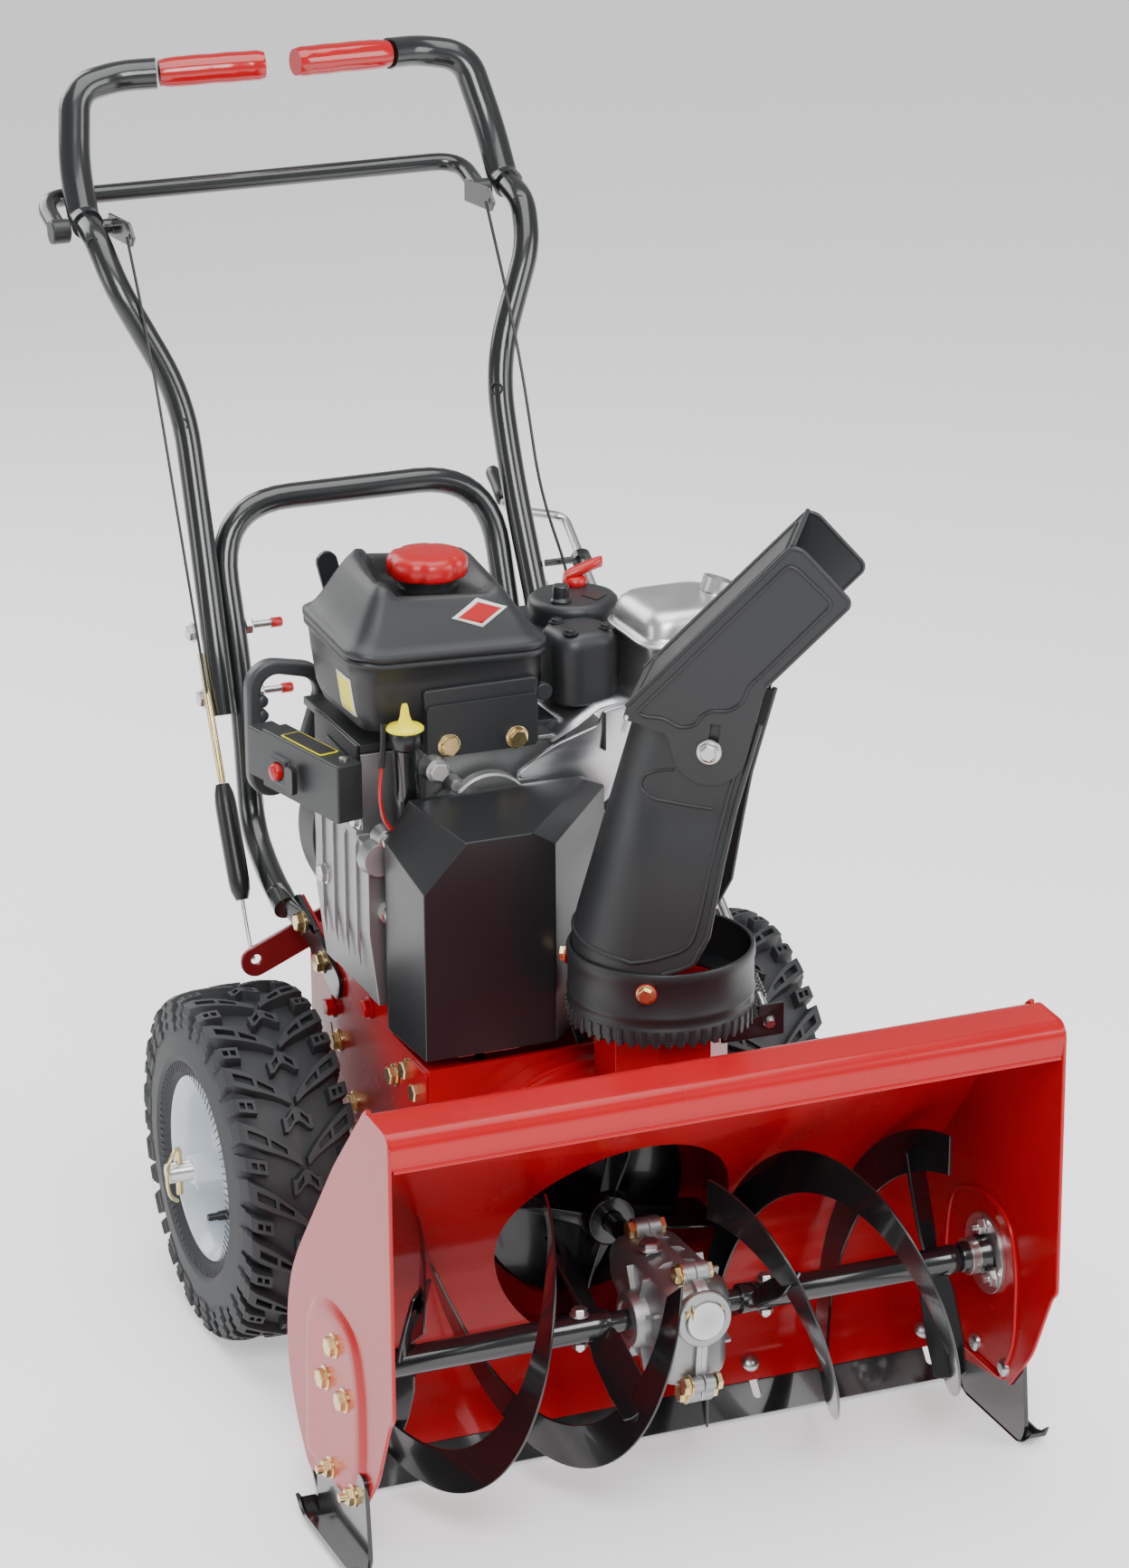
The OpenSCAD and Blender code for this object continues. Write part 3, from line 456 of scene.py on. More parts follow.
# ---------------------------------------------------------------- wheels
def relief(us, vs, level, pos, floor=-1.0):
    """(verts, faces) of a stepped block: level(i, j) is the height of each cell, pos places (u, v, h)."""
    verts, faces, at = [], [], {}

    def corner(i, j, h):
        key = (i, j, round(h, 4))
        if key not in at:
            at[key] = len(verts)
            verts.append(pos(us[i], vs[j], h))
        return at[key]

    nu, nv = len(us) - 1, len(vs) - 1
    cell = lambda i, j: level(i, j) if 0 <= i < nu and 0 <= j < nv else floor
    for i in range(nu):
        for j in range(nv):
            h = cell(i, j)
            if h > floor:
                faces.append([corner(*p, h) for p in ((i, j), (i + 1, j), (i + 1, j + 1), (i, j + 1))])
            edges = (((i, j), (i, j + 1), cell(i - 1, j)), ((i + 1, j), (i + 1, j + 1), cell(i + 1, j)),
                     ((i, j), (i + 1, j), cell(i, j - 1)), ((i, j + 1), (i + 1, j + 1), cell(i, j + 1)))
            for a, b, other in edges:
                if h > other:
                    faces.append([corner(*a, h), corner(*b, h), corner(*b, other), corner(*a, other)])
    return verts, faces


def between(table, s):
    """Straight-line value of a table of (s, a, b) rows."""
    for (s0, *p), (s1, *q) in zip(table, table[1:]):
        if s <= s1:
            t = max(0.0, (s - s0) / (s1 - s0))
            return [a + t * (b - a) for a, b in zip(p, q)]
    return table[-1][1:]


LUG_TOP = [(0, 164.8, 0), (0.6, 163.6, 34), (0.85, 161, 48), (1.0, 157.5, 54.5), (1.2, 146, 58.6),
    (1.5, 128, 60)]
LUG_FOOT = [(0, 154, 0), (0.6, 152.5, 33), (0.85, 148, 44), (1.0, 143, 49), (1.2, 136, 54), (1.5, 124, 57)]


def tyre(side):
    name = "left" if side < 0 else "right"
    centre = V(side * TRACK, *AXLE)
    out = side * X

    def place(s, angle, h, way):
        top, foot = between(LUG_TOP, s), between(LUG_FOOT, s)
        r, x = (foot[k] + (top[k] - foot[k]) * h for k in (0, 1))
        a = radians(angle)
        return centre + MM * (way * x * out + r * Vector((0, -cos(a), sin(a))))

    def lug(us, middle, dents, full, tops, spot):
        """A lug with dents along its middle, stepping down past its full-height cells."""
        level = lambda i, j: 0.45 if j == 1 and i in dents else 1.0 if i < full else tops[i - full]
        return relief(us, [-1, -middle, middle, 1], level, spot, 0.0)

    shapes = []
    for k in range(18):
        base = 20 * k + (0 if side < 0 else 7)
        for way in (-1, 1):
            def bar(u, v, h):
                lean = 15 * min(1, u) ** 0.75 if u > 0 else 0
                half = 1.0 + 2.4 * min(1, u * 1.6)
                return place(u, base + lean + v * half * (1.25 - 0.25 * h), h, way)

            def block(u, v, h):
                return place(u, base + 2.6 + 6 * (u - 0.8) + v * 2.3 * (1.25 - 0.25 * h), h, way)

            shapes.append(lug([0.05, 0.2, 0.27, 0.4, 0.5, 0.56, 0.7, 0.84, 0.93, 1.0, 1.12, 1.25, 1.4],
                              0.42, (2, 3, 5, 6), 9, (0.85, 0.62, 0.36), bar))
            shapes.append(lug([0.62, 0.67, 0.75, 0.79, 0.87, 0.93, 1.0, 1.15, 1.3],
                              0.45, (1, 3), 5, (0.96, 0.7, 0.4), block))

        def centre_block(u, v, h):
            angle = base - 4.6 + 1.6 * cos(u * 15) + v * 2.3 * (1.25 - 0.25 * h)
            return place(abs(u), angle, h, 1 if u > 0 else -1)

        shapes.append(lug([-0.24, -0.17, -0.06, 0, 0.06, 0.17, 0.24], 0.45, (1, 4), 6, (), centre_block))
    piece("tyre_lugs_" + name, shapes, RUBBER, "axle", round_edges=0.9, sharp=25)
    casing = [(86, -53), (92, -56), (104, -58.5), (106, -59.4), (109, -58.8), (124, -57.4), (136, -54.5),
              (146, -49), (151.5, -38), (154, -22), (155.5, -4), (155.9, -0.8), (155.9, 0.8), (155.5, 4),
              (154, 22), (151.5, 38), (146, 49), (136, 54), (124, 56.8), (109, 57.6), (106, 58.4),
              (104, 57.4), (94, 54), (88, 49), (86, 45)]
    piece("tyre_casing_" + name, lathe(casing, centre, out, 120), RUBBER, "axle", node="tyre_" + name,
        sharp=60)
    ribs = []
    for k in range(90):
        a = radians(4 * k)
        u = Vector((0, cos(a), sin(a)))
        w = out.cross(u)
        c = centre + MM * (96 * u + 56.6 * out)
        ribs.append(prism([c + MM * (p * u + q * w) for p, q in ((-5, -0.5), (5, -0.5), (5, 0.5),
            (-5, 0.5))], 0.7 * MM * out))
    piece("tyre_bead_ribs_" + name, ribs, RUBBER, "axle")


def rim(side):
    name = "left" if side < 0 else "right"
    centre = V(side * TRACK, *AXLE)
    out = side * X
    profile = [(85, -55), (87.5, -54), (87.5, -50), (81, -46), (79, -40), (79, 30), (80.5, 38), (84, 43),
        (87.6, 45), (88, 48.5), (86.5, 50.5), (84.5, 49), (83, 45.5), (79, 41), (76.6, 34), (76, 16),
        (73, 10), (66, 7), (58, 6), (53, 3), (49, -4), (44, -7), (30, -8), (20, -6), (14, -2), (14, -6),
        (20, -10), (44, -11), (55, -2), (72, 4), (76, 8), (76, -42), (84, -52)]
    piece("rim_dish_" + name, lathe(profile, centre, out, 96, closed=True), RIM, "axle", node="rim_" + name,
        sharp=50)
    hub = [(9.6, 60), (13, 60), (14, 59), (14, -52), (13, -52), (9.6, -52)]
    piece("rim_hub_" + name, lathe(hub, centre, out, 40, closed=True), RIM, "axle", sharp=30)
    spot = centre + MM * (Vector((0, 22, -62)) + 12 * out)
    piece("valve_stem_" + name, lathe([(0, 26), (3, 26), (3.6, 24), (3.6, 17), (4.6, 15), (5, 5), (7, 0),
        (7, -6)], spot, out, 20), SOFT_BLACK, "axle", slot="tyre_rubber")


for s in (-1, 1):
    tyre(s)
    rim(s)


# ---------------------------------------------------------------- handle tubes
def route(points, reach, steps=8, side=1, shift=0):
    return rounded([V(side * (p[0] + shift), p[1], p[2]) for p in points], reach, steps)


LEG = [(152, 690, 358), (152, 740, 376), (148, 797, 402), (140, 841, 530), (140, 905, 694), (0, 905, 694)]
UPPER = [(160, 818, 512), (160, 838, 570), (155, 896, 697), (155, 932, 794), (205, 970, 900), (212, 1000,
    938), (211, 1036, 947)]
LOOP = [(211, 1036, 947), (210.6, 1050, 950.5), (209, 1080, 995), (196, 1112, 1062), (150, 1120, 1070),
        (114, 1108, 1072)]
BAIL = [(190, 1046, 942), (190, 1102, 960), (-243, 1102, 960), (-243, 1046, 942)]


def handles():
    mirrored = [(-x, y, z) for x, y, z in LEG[:-1]]
    frame_path = route(mirrored + LEG[:-1][::-1], 75, 10)
    piece("lower_handle_tube", tube(frame_path, 12.5, 28), TUBE, node="lower_handle", sharp=60)
    for side, name in SIDES:
        path = route(UPPER, 48, 8, side, 6)
        piece("upper_tube_" + name, tube(path, [12.5] * len(path), 28), TUBE, node="upper_handle_" + name,
            sharp=60)
        path = route(LOOP, 48, 10, side, 6)
        piece("hand_loop_" + name, tube(path, 15.4, 28), TUBE, sharp=60,
              **({"node": "handle_loops"} if side < 0 else {"slot": "black_paint"}))
        # the leg's flattened end, bolted to the frame
        flat = rounded_outline([(577, 302), (694, 346), (690, 375), (568, 328)], 12, 5)
        leg = at_x(side * 139.5, flat)
        hole = at_x(side * 139.5, arc((643, 352), 10.5, 4, turns(16)))
        piece("leg_foot_" + name, prism(leg, side * 4 * MM * X, [hole]), TUBE, round_edges=1.2)
        neck = []
        for t in [k / 8 for k in range(9)]:
            c = V(side * 141.5, 672, 346).lerp(V(side * 152, 712, 367), t)
            d = unit(Vector((0, 40, 21)))
            up = Vector((0, -d.z, d.y))
            thick = 2 + 10.5 * t
            wide = 15.5 - 3 * t
            neck.append([c + MM * (thick * cos(a) * X + wide * sin(a) * up) for a in turns(24)])
        piece("leg_neck_" + name, loft(neck), TUBE, sharp=60)
        # dimples pressed where the tubes are pinned
        for x, y, z in ((218, 1003, 936), (161, 924, 772)):
            ring = lathe([(6.5, 0.0), (6.2, 0.7), (4.6, 0.5), (3.6, -1.4), (0, -1.8)],
                         V(side * x, y, z) + MM * Vector((-0.55, -0.8, 0.2)).normalized() * 12.2,
                         Vector((-0.55, -0.8, 0.2)), 24)
            piece(f"tube_pin_{name}_{y}", ring, SMOOTH_PLASTIC, slot="black_paint")
    bars = route(BAIL, 45, 8)
    piece("bail_bar", tube(bars, 9, 24), TUBE, "bail", node="bail", sharp=60)
    for x in (-243, 190):
        hub = lathe([(0, -9), (11, -9), (12, -8), (12, 8), (11, 9), (0, 9)], V(x, 1044, 941), X, 32)
        piece(f"bail_hub_{x + 500}", hub, SMOOTH_PLASTIC, "bail", slot="black_paint")
    for side, name in SIDES:
        ends = [V(side * 118, 1107, 1072), V(side * 70, 1098, 1074), V(side * 16, 1090, 1075)]
        path = [ends[0].lerp(ends[1], k / 6) for k in range(6)]
        path += [ends[1].lerp(ends[2], k / 8) for k in range(9)]
        radii = [13, 14.4, 14.9] + [14.9 + 0.25 * sin(k * 1.3) for k in range(len(path) - 5)] + [14.9, 13.2]
        piece("grip_sleeve_" + name, tube(path, radii, 36), VINYL, sharp=70,
              **({"node": "hand_grips"} if side < 0 else {"slot": "red_vinyl"}))


handles()

# ---------------------------------------------------------------- clearing housing
SKIN = [(-2, 398), (-4, 412), (-4, 421), (4, 429), (46, 431), (57, 426), (136, 344), (229, 231), (247, 203),
        (258, 172), (262, 140), (260, 110), (250, 82), (236, 58), (213, 31)]


def smooth_line(points, reach, steps=4):
    return [(p.y / MM + MID_Y, p.z / MM) for p in rounded(at_x(0, points), reach, steps)]


def thick(line, t):
    """The line and its copy moved t mm to its left, as one closed outline."""
    other = []
    for i, (y, z) in enumerate(line):
        a, b = line[max(i - 1, 0)], line[min(i + 1, len(line) - 1)]
        d = Vector((b[0] - a[0], b[1] - a[1])).normalized()
        other.append((y + t * d.y, z - t * d.x))
    return line + other[::-1]


def strip(line, t, x0, x1):
    """(verts, faces) of a bent sheet running across the machine."""
    outline = thick(line, t)
    return loft([at_x(x, outline) for x in (x0, x1)])


def housing():
    line = smooth_line([(7, 400), (2, 396.5)] + SKIN, 9)
    ob = piece("housing_skin", strip(line, 2.5, -305, 305), RED, node="auger_housing", round_edges=0.8,
        sharp=38)
    cut(ob, lathe([(0, -60), (111, -60), (111, 130), (0, 130)], V(-6, 180, DRUM_Z), Y, 96))
    # folded hem along the front lip, and the joint where skin and side plates meet
    hem = [V(x, -1.8, 398) for x in (-303, 303)]
    piece("front_hem", tube(hem, 2.0, 12), RED)
    rear = smooth_line(SKIN[3:], 14)
    for side, name in SIDES:
        seam = [V(side * 303.5, y + 1.2, z + 1.2) for y, z in rear[6:]]
        piece("weld_flange_" + name, tube(seam, 2.3, 10), RED)
        plate = rounded_outline([(-4, 421, 9), (4, 429.5, 6), (46, 431, 14), (57, 426, 12)] + SKIN[6:-1]
            + [(213, 31, 10), (81, 50, 24), (39, 98, 20), (5, 167, 20), (-4, 175, 6)], 12, 5)
        x0 = side * 305
        hole = at_x(x0, arc(AUGER, 12.5, 12.5, turns(24)))
        piece("side_plate_sheet_" + name, prism(at_x(x0, plate), side * 2.5 * MM * X, [hole]), RED,
            node="side_plate_" + name, round_edges=1.1)
        # the pressed arch round the bearing, raised towards the outside and hollow from within
        arch = [(207, 52, 4), (205, 150, 30), (196, 196, 34), (140, 218, 44), (84, 210, 30), (69, 168, 30),
            (70, 96, 20), (92, 52, 5)]
        rings = []
        for inset, h in ((-7, 0.0), (-4, 1.4), (0, 3.6), (3, 4.3), (12, 4.4)):
            mid = Vector((138, 120))
            ring = []
            for p in rounded_outline(arch, 20, 6):
                d = p - mid
                q = mid + d * (1 - inset / d.length)
                ring.append(V(x0 + side * (2.5 + h), q.x, q.y))
            rings.append(ring)
        piece("pressed_arch_" + name, loft(rings, caps=False), RED, sharp=80)
        lid = [Vector(p) for p in rings[4]]
        piece("pressed_panel_" + name, prism(lid, -side * 1.5 * MM * X), RED, sharp=50)
        groove = [Vector((x0 * MM - side * 0.0009, p.y, p.z)) for p in rings[2]]
        piece("arch_from_within_" + name, tube(groove, 2.4, 10, closed=True), RED, sharp=80)
        # a rolled edge down the plate's front
        front = at_x(side * 306.2, ((-2.2, 420), (-2.2, 176), (6.2, 167.5), (39.5, 98.5), (80, 51.5)))
        piece("plate_front_roll_" + name, tube(rounded(front, 14, 6), 1.7, 10), RED, sharp=80)


def drum_and_stand():
    cad_copy("impeller_drum", RED, 1.0)
    cad_copy("chute_stand", RED, 1.2)
    top = [(129.4, 0), (133.5, 0.5), (134, 2.5), (133.5, 4.5), (129.4, 5)]
    ring = lathe(top, V(0, 318, DRUM_Z), Y, 60, start=Vector((0.9, 0, 0.12)), sweep=-pi * 1.02)
    piece("drum_weld_band", ring, RED, sharp=60)


# ---------------------------------------------------------------- auger
def on_axis(x, angle, r):
    a = radians(angle)
    return V(x, AUGER[0] + r * cos(a), AUGER[1] + r * sin(a))


def flight(side, start):
    name = "left" if side < 0 else "right"
    shapes = []
    for turn in (0, 180):
        sections = []
        for i in range(97):
            t = i / 96
            x, a = 33 + 233 * t, start + turn + 360 * t
            ring = [(x - 1.5, 81.5), (x - 1.2, 119.5), (x + 1.2, 119.5), (x + 1.5, 81.5)]
            sections.append([on_axis(side * px, a, r) for px, r in ring])
        shapes.append(loft(sections))
    piece("ribbons_" + name, shapes, BLACK, "auger", node="auger_flight_" + name, round_edges=0.7, sharp=50)
    arms = []
    for turn in (0, 180):
        for x in (72, 250):
            a = start + turn + 360 * (x - 33) / 233
            radial = on_axis(0, a, 1) - on_axis(0, a, 0)
            around = side * (on_axis(0, a + 90, 1) - on_axis(0, a + 90, 0))
            c, s = cos(radians(50)), sin(radians(50))
            across = side * X * MM
            wide, flat = c * around - s * across, s * around + c * across
            base = on_axis(side * x, a, 0)
            outline = [(12, -13), (12, 13), (30, 16), (70, 17), (100, 15), (103, 8), (103, -8), (100, -15),
                       (70, -17), (30, -16)]
            arms.append(prism([base + r * radial + w * wide - 1.8 * flat for r, w in outline], 3.6 * flat))
    piece("arms_" + name, arms, BLACK, "auger", round_edges=1.2)
    sleeve = lathe([(9.6, 62), (13, 62), (13.4, 64), (13.4, 78), (12.8, 79), (12.8, 262), (13.4, 263),
        (13.4, 271), (13, 272), (9.6, 272)], V(0, *AUGER), side * X, 40, closed=True)
    piece("sleeve_" + name, sleeve, BLACK, "auger")
    bolt = hex_bolt(V(side * 88, AUGER[0], AUGER[1] + 13), Z, 3.4, 5, True, 34)
    nut = hex_bolt(V(side * 88, AUGER[0], AUGER[1] - 13), -Z, 3.6, 5.5, False)
    piece("shear_bolt_" + name, [bolt, nut], ZINC, "auger", sharp=30)


def auger():
    flight(1, -270)
    flight(-1, -217)
    shaft = lathe([(0, -311), (9, -311), (9.5, -310), (9.5, 310), (9, 311), (0, 311)], V(0, *AUGER), X, 40)
    piece("cross_shaft", shaft, BLACK, "auger", node="auger_shaft")
    # flanged bearings, dark inside the housing with two nuts
    for side, name in SIDES:
        body = [(9.6, -29), (12.6, -29), (14, -27), (14.4, -17), (17, -13), (19, -8), (20, -4), (9.6, -4)]
        ring = lathe(body, V(side * 305, *AUGER), side * X, 40, closed=True)
        flange = []
        for a in turns(48):
            flange.append(on_axis(side * 301, degrees(a), 24 + 12 * max(0, cos(3 * (a - pi / 2))) ** 1.5))
        plate = prism(flange, side * 4 * MM * X)
        piece("auger_bearing_" + name, [ring, plate], BLACK, round_edges=0.8, sharp=35)
        nuts, bolts = [], []
        for y, z in arc(AUGER, 27, 27, [radians(d) for d in (90, 210, 330)]):
            nuts.append(hex_bolt(V(side * 301, y, z), -side * X, 3.9, 6, True, 0))
            nuts.append(tube([V(side * 296, y, z), V(side * 288, y, z)], 3.6, 14))
            bolts.append(hex_bolt(V(side * 312, y, z), side * X, 4.6, 5.6))
        piece("bearing_nuts_" + name, nuts, ZINC, sharp=30)
        piece("bearing_bolts_" + name, bolts, YELLOW_ZINC, sharp=30)


# ---------------------------------------------------------------- gear case
def gearbox():
    side_view = [(62, 172, 8), (62, 204, 12), (74, 212, 8), (196, 211, 10), (212, 200, 8), (212, 174, 8),
        (190, 152, 14), (168, 116, 14), (150, 106, 10), (84, 106, 10), (70, 118, 10), (68, 150, 10)]
    outline = rounded_outline(side_view, 8, 5)
    mid = Vector((134, 165))
    for side, name in SIDES:
        rings = []
        for x, k in ((0.15, 3.2), (5, 3.2), (5.6, 1), (8, -1.5), (20, -5), (26, -9), (30, -15), (31, -26),
            (31.2, -60)):
            ring = []
            for p in outline:
                d = p - mid
                q = mid + d * ((d.length + k) / d.length)
                ring.append(V(side * x, q.x, q.y))
            rings.append(ring)
        piece("gear_case_" + name, loft(rings), CAST, node="gearbox_" + name, sharp=55)
        extra = [lathe([(8, 24), (25, 24), (26, 30), (25, 41), (23.5, 44), (17, 45), (15, 43), (8, 43)],
            V(0, *AUGER), side * X, 40, closed=True)]
        for a in range(0, 360, 45):
            r = radians(a + 20)
            u = Vector((0, cos(r), sin(r)))
            w = Vector((0, -u.z, u.y))
            c = V(side * 26, *AUGER)
            extra.append(prism([c + MM * (p * u + q * w) for p, q in ((22, -2), (46, -1.6), (46, 1.6),
                (22, 2))], side * 10 * MM * X))
        # ribs over the case, front to back
        for y, z in ((92, 205), (118, 207), (146, 207), (172, 205)):
            extra.append(prism([V(side * 5, y - 2, z - 20), V(side * 5, y - 2, z + 6.5), V(side * 14, y - 2,
                z + 5), V(side * 28, y - 2, z - 5), V(side * 31, y - 2, z - 22)], 4 * MM * Y))
        for y, z in ((84, 216), (186, 215), (74, 108), (152, 104)):
            extra.append(lathe([(0, 0.2), (8.6, 0.2), (9.4, 1), (9.4, 11), (8.4, 12), (0, 12)], V(0, y, z),
                side * X, 24))
        for z in (120, 190):
            extra.append(lathe([(0, 0.2), (6, 0.2), (7, 1), (7, 10), (6, 11), (0, 11)], V(0, 63, z),
                side * X, 20))
        # half of the round cap at the front, split on the middle plane
        cap = lathe([(0, -6), (24, -6), (26, -4), (26, 2), (24.5, 4), (19, 4.4), (17.5, 7), (0, 8)],
            V(side * 0.3, 62, DRUM_Z - 6), -Y, 24, start=Z, sweep=side * pi)
        extra.append(cap)
        piece("gear_case_ribs_" + name, extra, CAST, round_edges=0.9, sharp=35)
    bolts = []
    for y, z in ((84, 216), (186, 215), (74, 108), (152, 104), (63, 120), (63, 190)):
        bolts.append(hex_bolt(V(-12, y, z), -X, 4.0, 5))
        bolts.append(hex_bolt(V(12, y, z), X, 4.0, 5, False))
    piece("gear_case_bolts", bolts, YELLOW_ZINC, sharp=30)
    plug = hex_bolt(V(-12, 150, 213), Z, 5, 5)
    piece("oil_plug", plug, ZINC, sharp=30)


# ---------------------------------------------------------------- impeller
def impeller():
    axis = Y
    shapes = [lathe([(0, 84), (9.2, 84), (9.5, 86), (9.5, 410), (0, 410)], V(0, 0, DRUM_Z), axis, 32),
        lathe([(9.6, 262), (22, 262), (24, 265), (24, 300), (17, 304), (17, 339), (9.6, 339)],
        V(0, 0, DRUM_Z), axis, 40, closed=True), lathe([(10, 335), (98, 335), (100, 337), (98, 339.5),
        (10, 339.5)], V(0, 0, DRUM_Z), axis, 64, closed=True)]
    for a in (20, 110, 200, 290):
        r = radians(a)
        u, w = Vector((cos(r), 0, -sin(r))), Vector((sin(r), 0, cos(r)))
        c = V(0, 0, DRUM_Z)
        blade = [(16, 272, 0), (60, 268, 0), (118, 272, 10), (118, 336, 10), (60, 337, 0), (16, 337, 0)]
        shapes.append(prism([c + MM * (p * u + k * w + h * axis) for p, h, k in blade], 3 * MM * w))
        shapes.append(prism([c + MM * (p * u + h * axis) for p, h in ((20, 276), (70, 290), (70, 294),
            (20, 320))], 14 * MM * w))
    piece("impeller_wheel", shapes, BLACK, "impeller", node="impeller", round_edges=1, sharp=35)


# ---------------------------------------------------------------- scraper and skids
def low_parts():
    cad_copy("scraper_bar", BLACK, 0.8)
    heads = []
    for x in (-290, -117, 117, 290):
        at = V(x, 223, 42.7)
        n = Vector((0, -0.761, 0.648))
        heads.append(lathe([(8.2, 2.5), (8.2, 3.4), (7, 5), (4.4, 6.2), (2, 6.7), (0, 6.8)], at, n, 24))
        heads.append(hex_bolt(at - 5.5 * MM * n, -n, 3.9, 5))
    piece("carriage_bolts", heads, ZINC, sharp=30)
    for side, name in SIDES:
        x0 = side * 307.5
        shape = rounded_outline([(60, 3, 6), (172, 3, 6), (181, 18, 8), (181, 92, 9), (60, 92, 9),
            (52, 18, 8)], 6, 5)
        slots = []
        for y in (88, 144):
            pts = arc((y, 62), 4.6, 4.6, [pi + pi * k / 8 for k in range(9)])
            pts += arc((y, 84), 4.6, 4.6, [pi * k / 8 for k in range(9)])
            slots.append(at_x(x0, pts))
        parts = [prism(at_x(x0, shape), side * 4 * MM * X, slots)]
        sole = [(x0, 0.2), (x0 + side * 3, 4.2), (x0 + side * 16, 4.2), (x0 + side * 19, 9),
            (x0 + side * 21.8, 8), (x0 + side * 18, 0.2)]
        runner = []
        for y, lift in ((46, 12), (56, 4), (68, 0), (166, 0), (178, 4), (188, 13)):
            runner.append([V(x, y, z + lift) for x, z in sole])
        parts.append(loft(runner))
        piece("skid_angle_" + name, parts, BLACK, node="skid_shoe_" + name, round_edges=1, sharp=35)
        bolts = [hex_bolt(V(x0 + side * 4, y, 64), side * X, 4.2, 5.5) for y in (88, 144)]
        bolts += [tube([V(x0 + side * 10, y, 64), V(x0 + side * 17, y, 64)], 3.9, 14) for y in (88, 144)]
        piece("skid_bolts_" + name, bolts, YELLOW_ZINC, sharp=30)
        inner = [lathe([(0, 5), (5, 5), (8, 3), (8.6, 0), (0, 0)], V(side * 305, y, 64), -side * X, 20)
            for y in (88, 144)]
        piece("skid_bolt_heads_" + name, inner, ZINC, sharp=30)


housing()
drum_and_stand()
auger()
gearbox()
impeller()
low_parts()


# ---------------------------------------------------------------- chute, deflector and ring
TURN = radians(-32)


def C(s, w, z):
    """A place given along and across the chute, turned about the chute's axis."""
    return V(CHUTE_AXIS[0] + s * cos(TURN) - w * sin(TURN), CHUTE_AXIS[1] + s * sin(TURN) + w * cos(TURN), z)


LEVELS = [(403, -78.5, 78.5, 0), (440, -78.5, 78.5, 10), (450, -79, 77, 40), (476, -73, 72, 53), (540, -55,
    64, 64), (586, -42, 51.5, 73), (664, -20, 49.5, 94)]


def chute_level(z):
    return [z] + between([(l[0], *l[1:]) for l in LEVELS], z)


def chute_wall(z, along, out=0.0):
    """A place on the chute's outer face; along runs from 0 at the near front edge round the back to 1."""
    _, back, half, front = chute_level(z)
    half += out
    straight = front - (back + half - out)
    curve = pi * half
    d = along * (2 * straight + curve)
    if d < straight:
        return C(front - d, -half, z)
    if d < straight + curve:
        a = -pi / 2 - (d - straight) / half
        return C(back + half - out + half * cos(a), half * sin(a), z)
    return C(back + half - out + (d - straight - curve), half, z)


def chute():
    heights = [403, 412, 424, 432, 440, 444, 448, 452, 458, 466, 476, 490, 508, 524, 540, 556, 572, 586,
        606, 626, 646, 664]
    n = 60
    outer = [[chute_wall(z, k / n) for k in range(n + 1)] for z in heights]
    inner = [[chute_wall(z, k / n, -3) for k in range(n, -1, -1)] for z in heights]
    piece("chute_shell", loft([a + b for a, b in zip(outer, inner)]), PLASTIC, "chute", node="chute",
        round_edges=0.9, sharp=42)
    beads = []
    for way in (0, 1):
        at = lambda z, d, way=way: chute_wall(z, d if not way else 1 - d, 0.2)
        rim = [at(z, 0.035) for z in (662, 640, 600, 560, 520, 490, 470)] + [at(462, 0.05), at(452, 0.12),
            at(449, 0.16)]
        path = rounded(rim, 8, 4) + [at(451 + 9 * k / 10, 0.2 + 0.3 * k / 10) for k in range(11)]
        beads.append(tube(path, 1.9, 10))
        flange = [at(z, 0.004) for z in (664, 620, 586, 560, 540, 510, 476, 462, 452)] + [at(446, 0.0),
            at(441, 0.0)]
        beads.append(tube(flange, 2.6, 10))
        pad = [at(586, 0.07), at(588, 0.14), at(592, 0.26), at(600, 0.31), at(611, 0.31), at(618, 0.27),
            at(620, 0.22)]
        beads.append(tube(rounded(pad, 9, 4), 1.5, 10))
    piece("chute_beads", beads, PLASTIC, "chute", sharp=80)
    # hinge wire and its turned-up ends
    wire = [C(-24, -60, 655), C(-21, -58, 668), C(-20, -51, 667), C(-20, 51, 667), C(-21, 58, 668),
        C(-24, 60, 655)]
    piece("hinge_wire", tube(rounded(wire, 4, 4), 2, 12), ZINC, "chute", sharp=60)


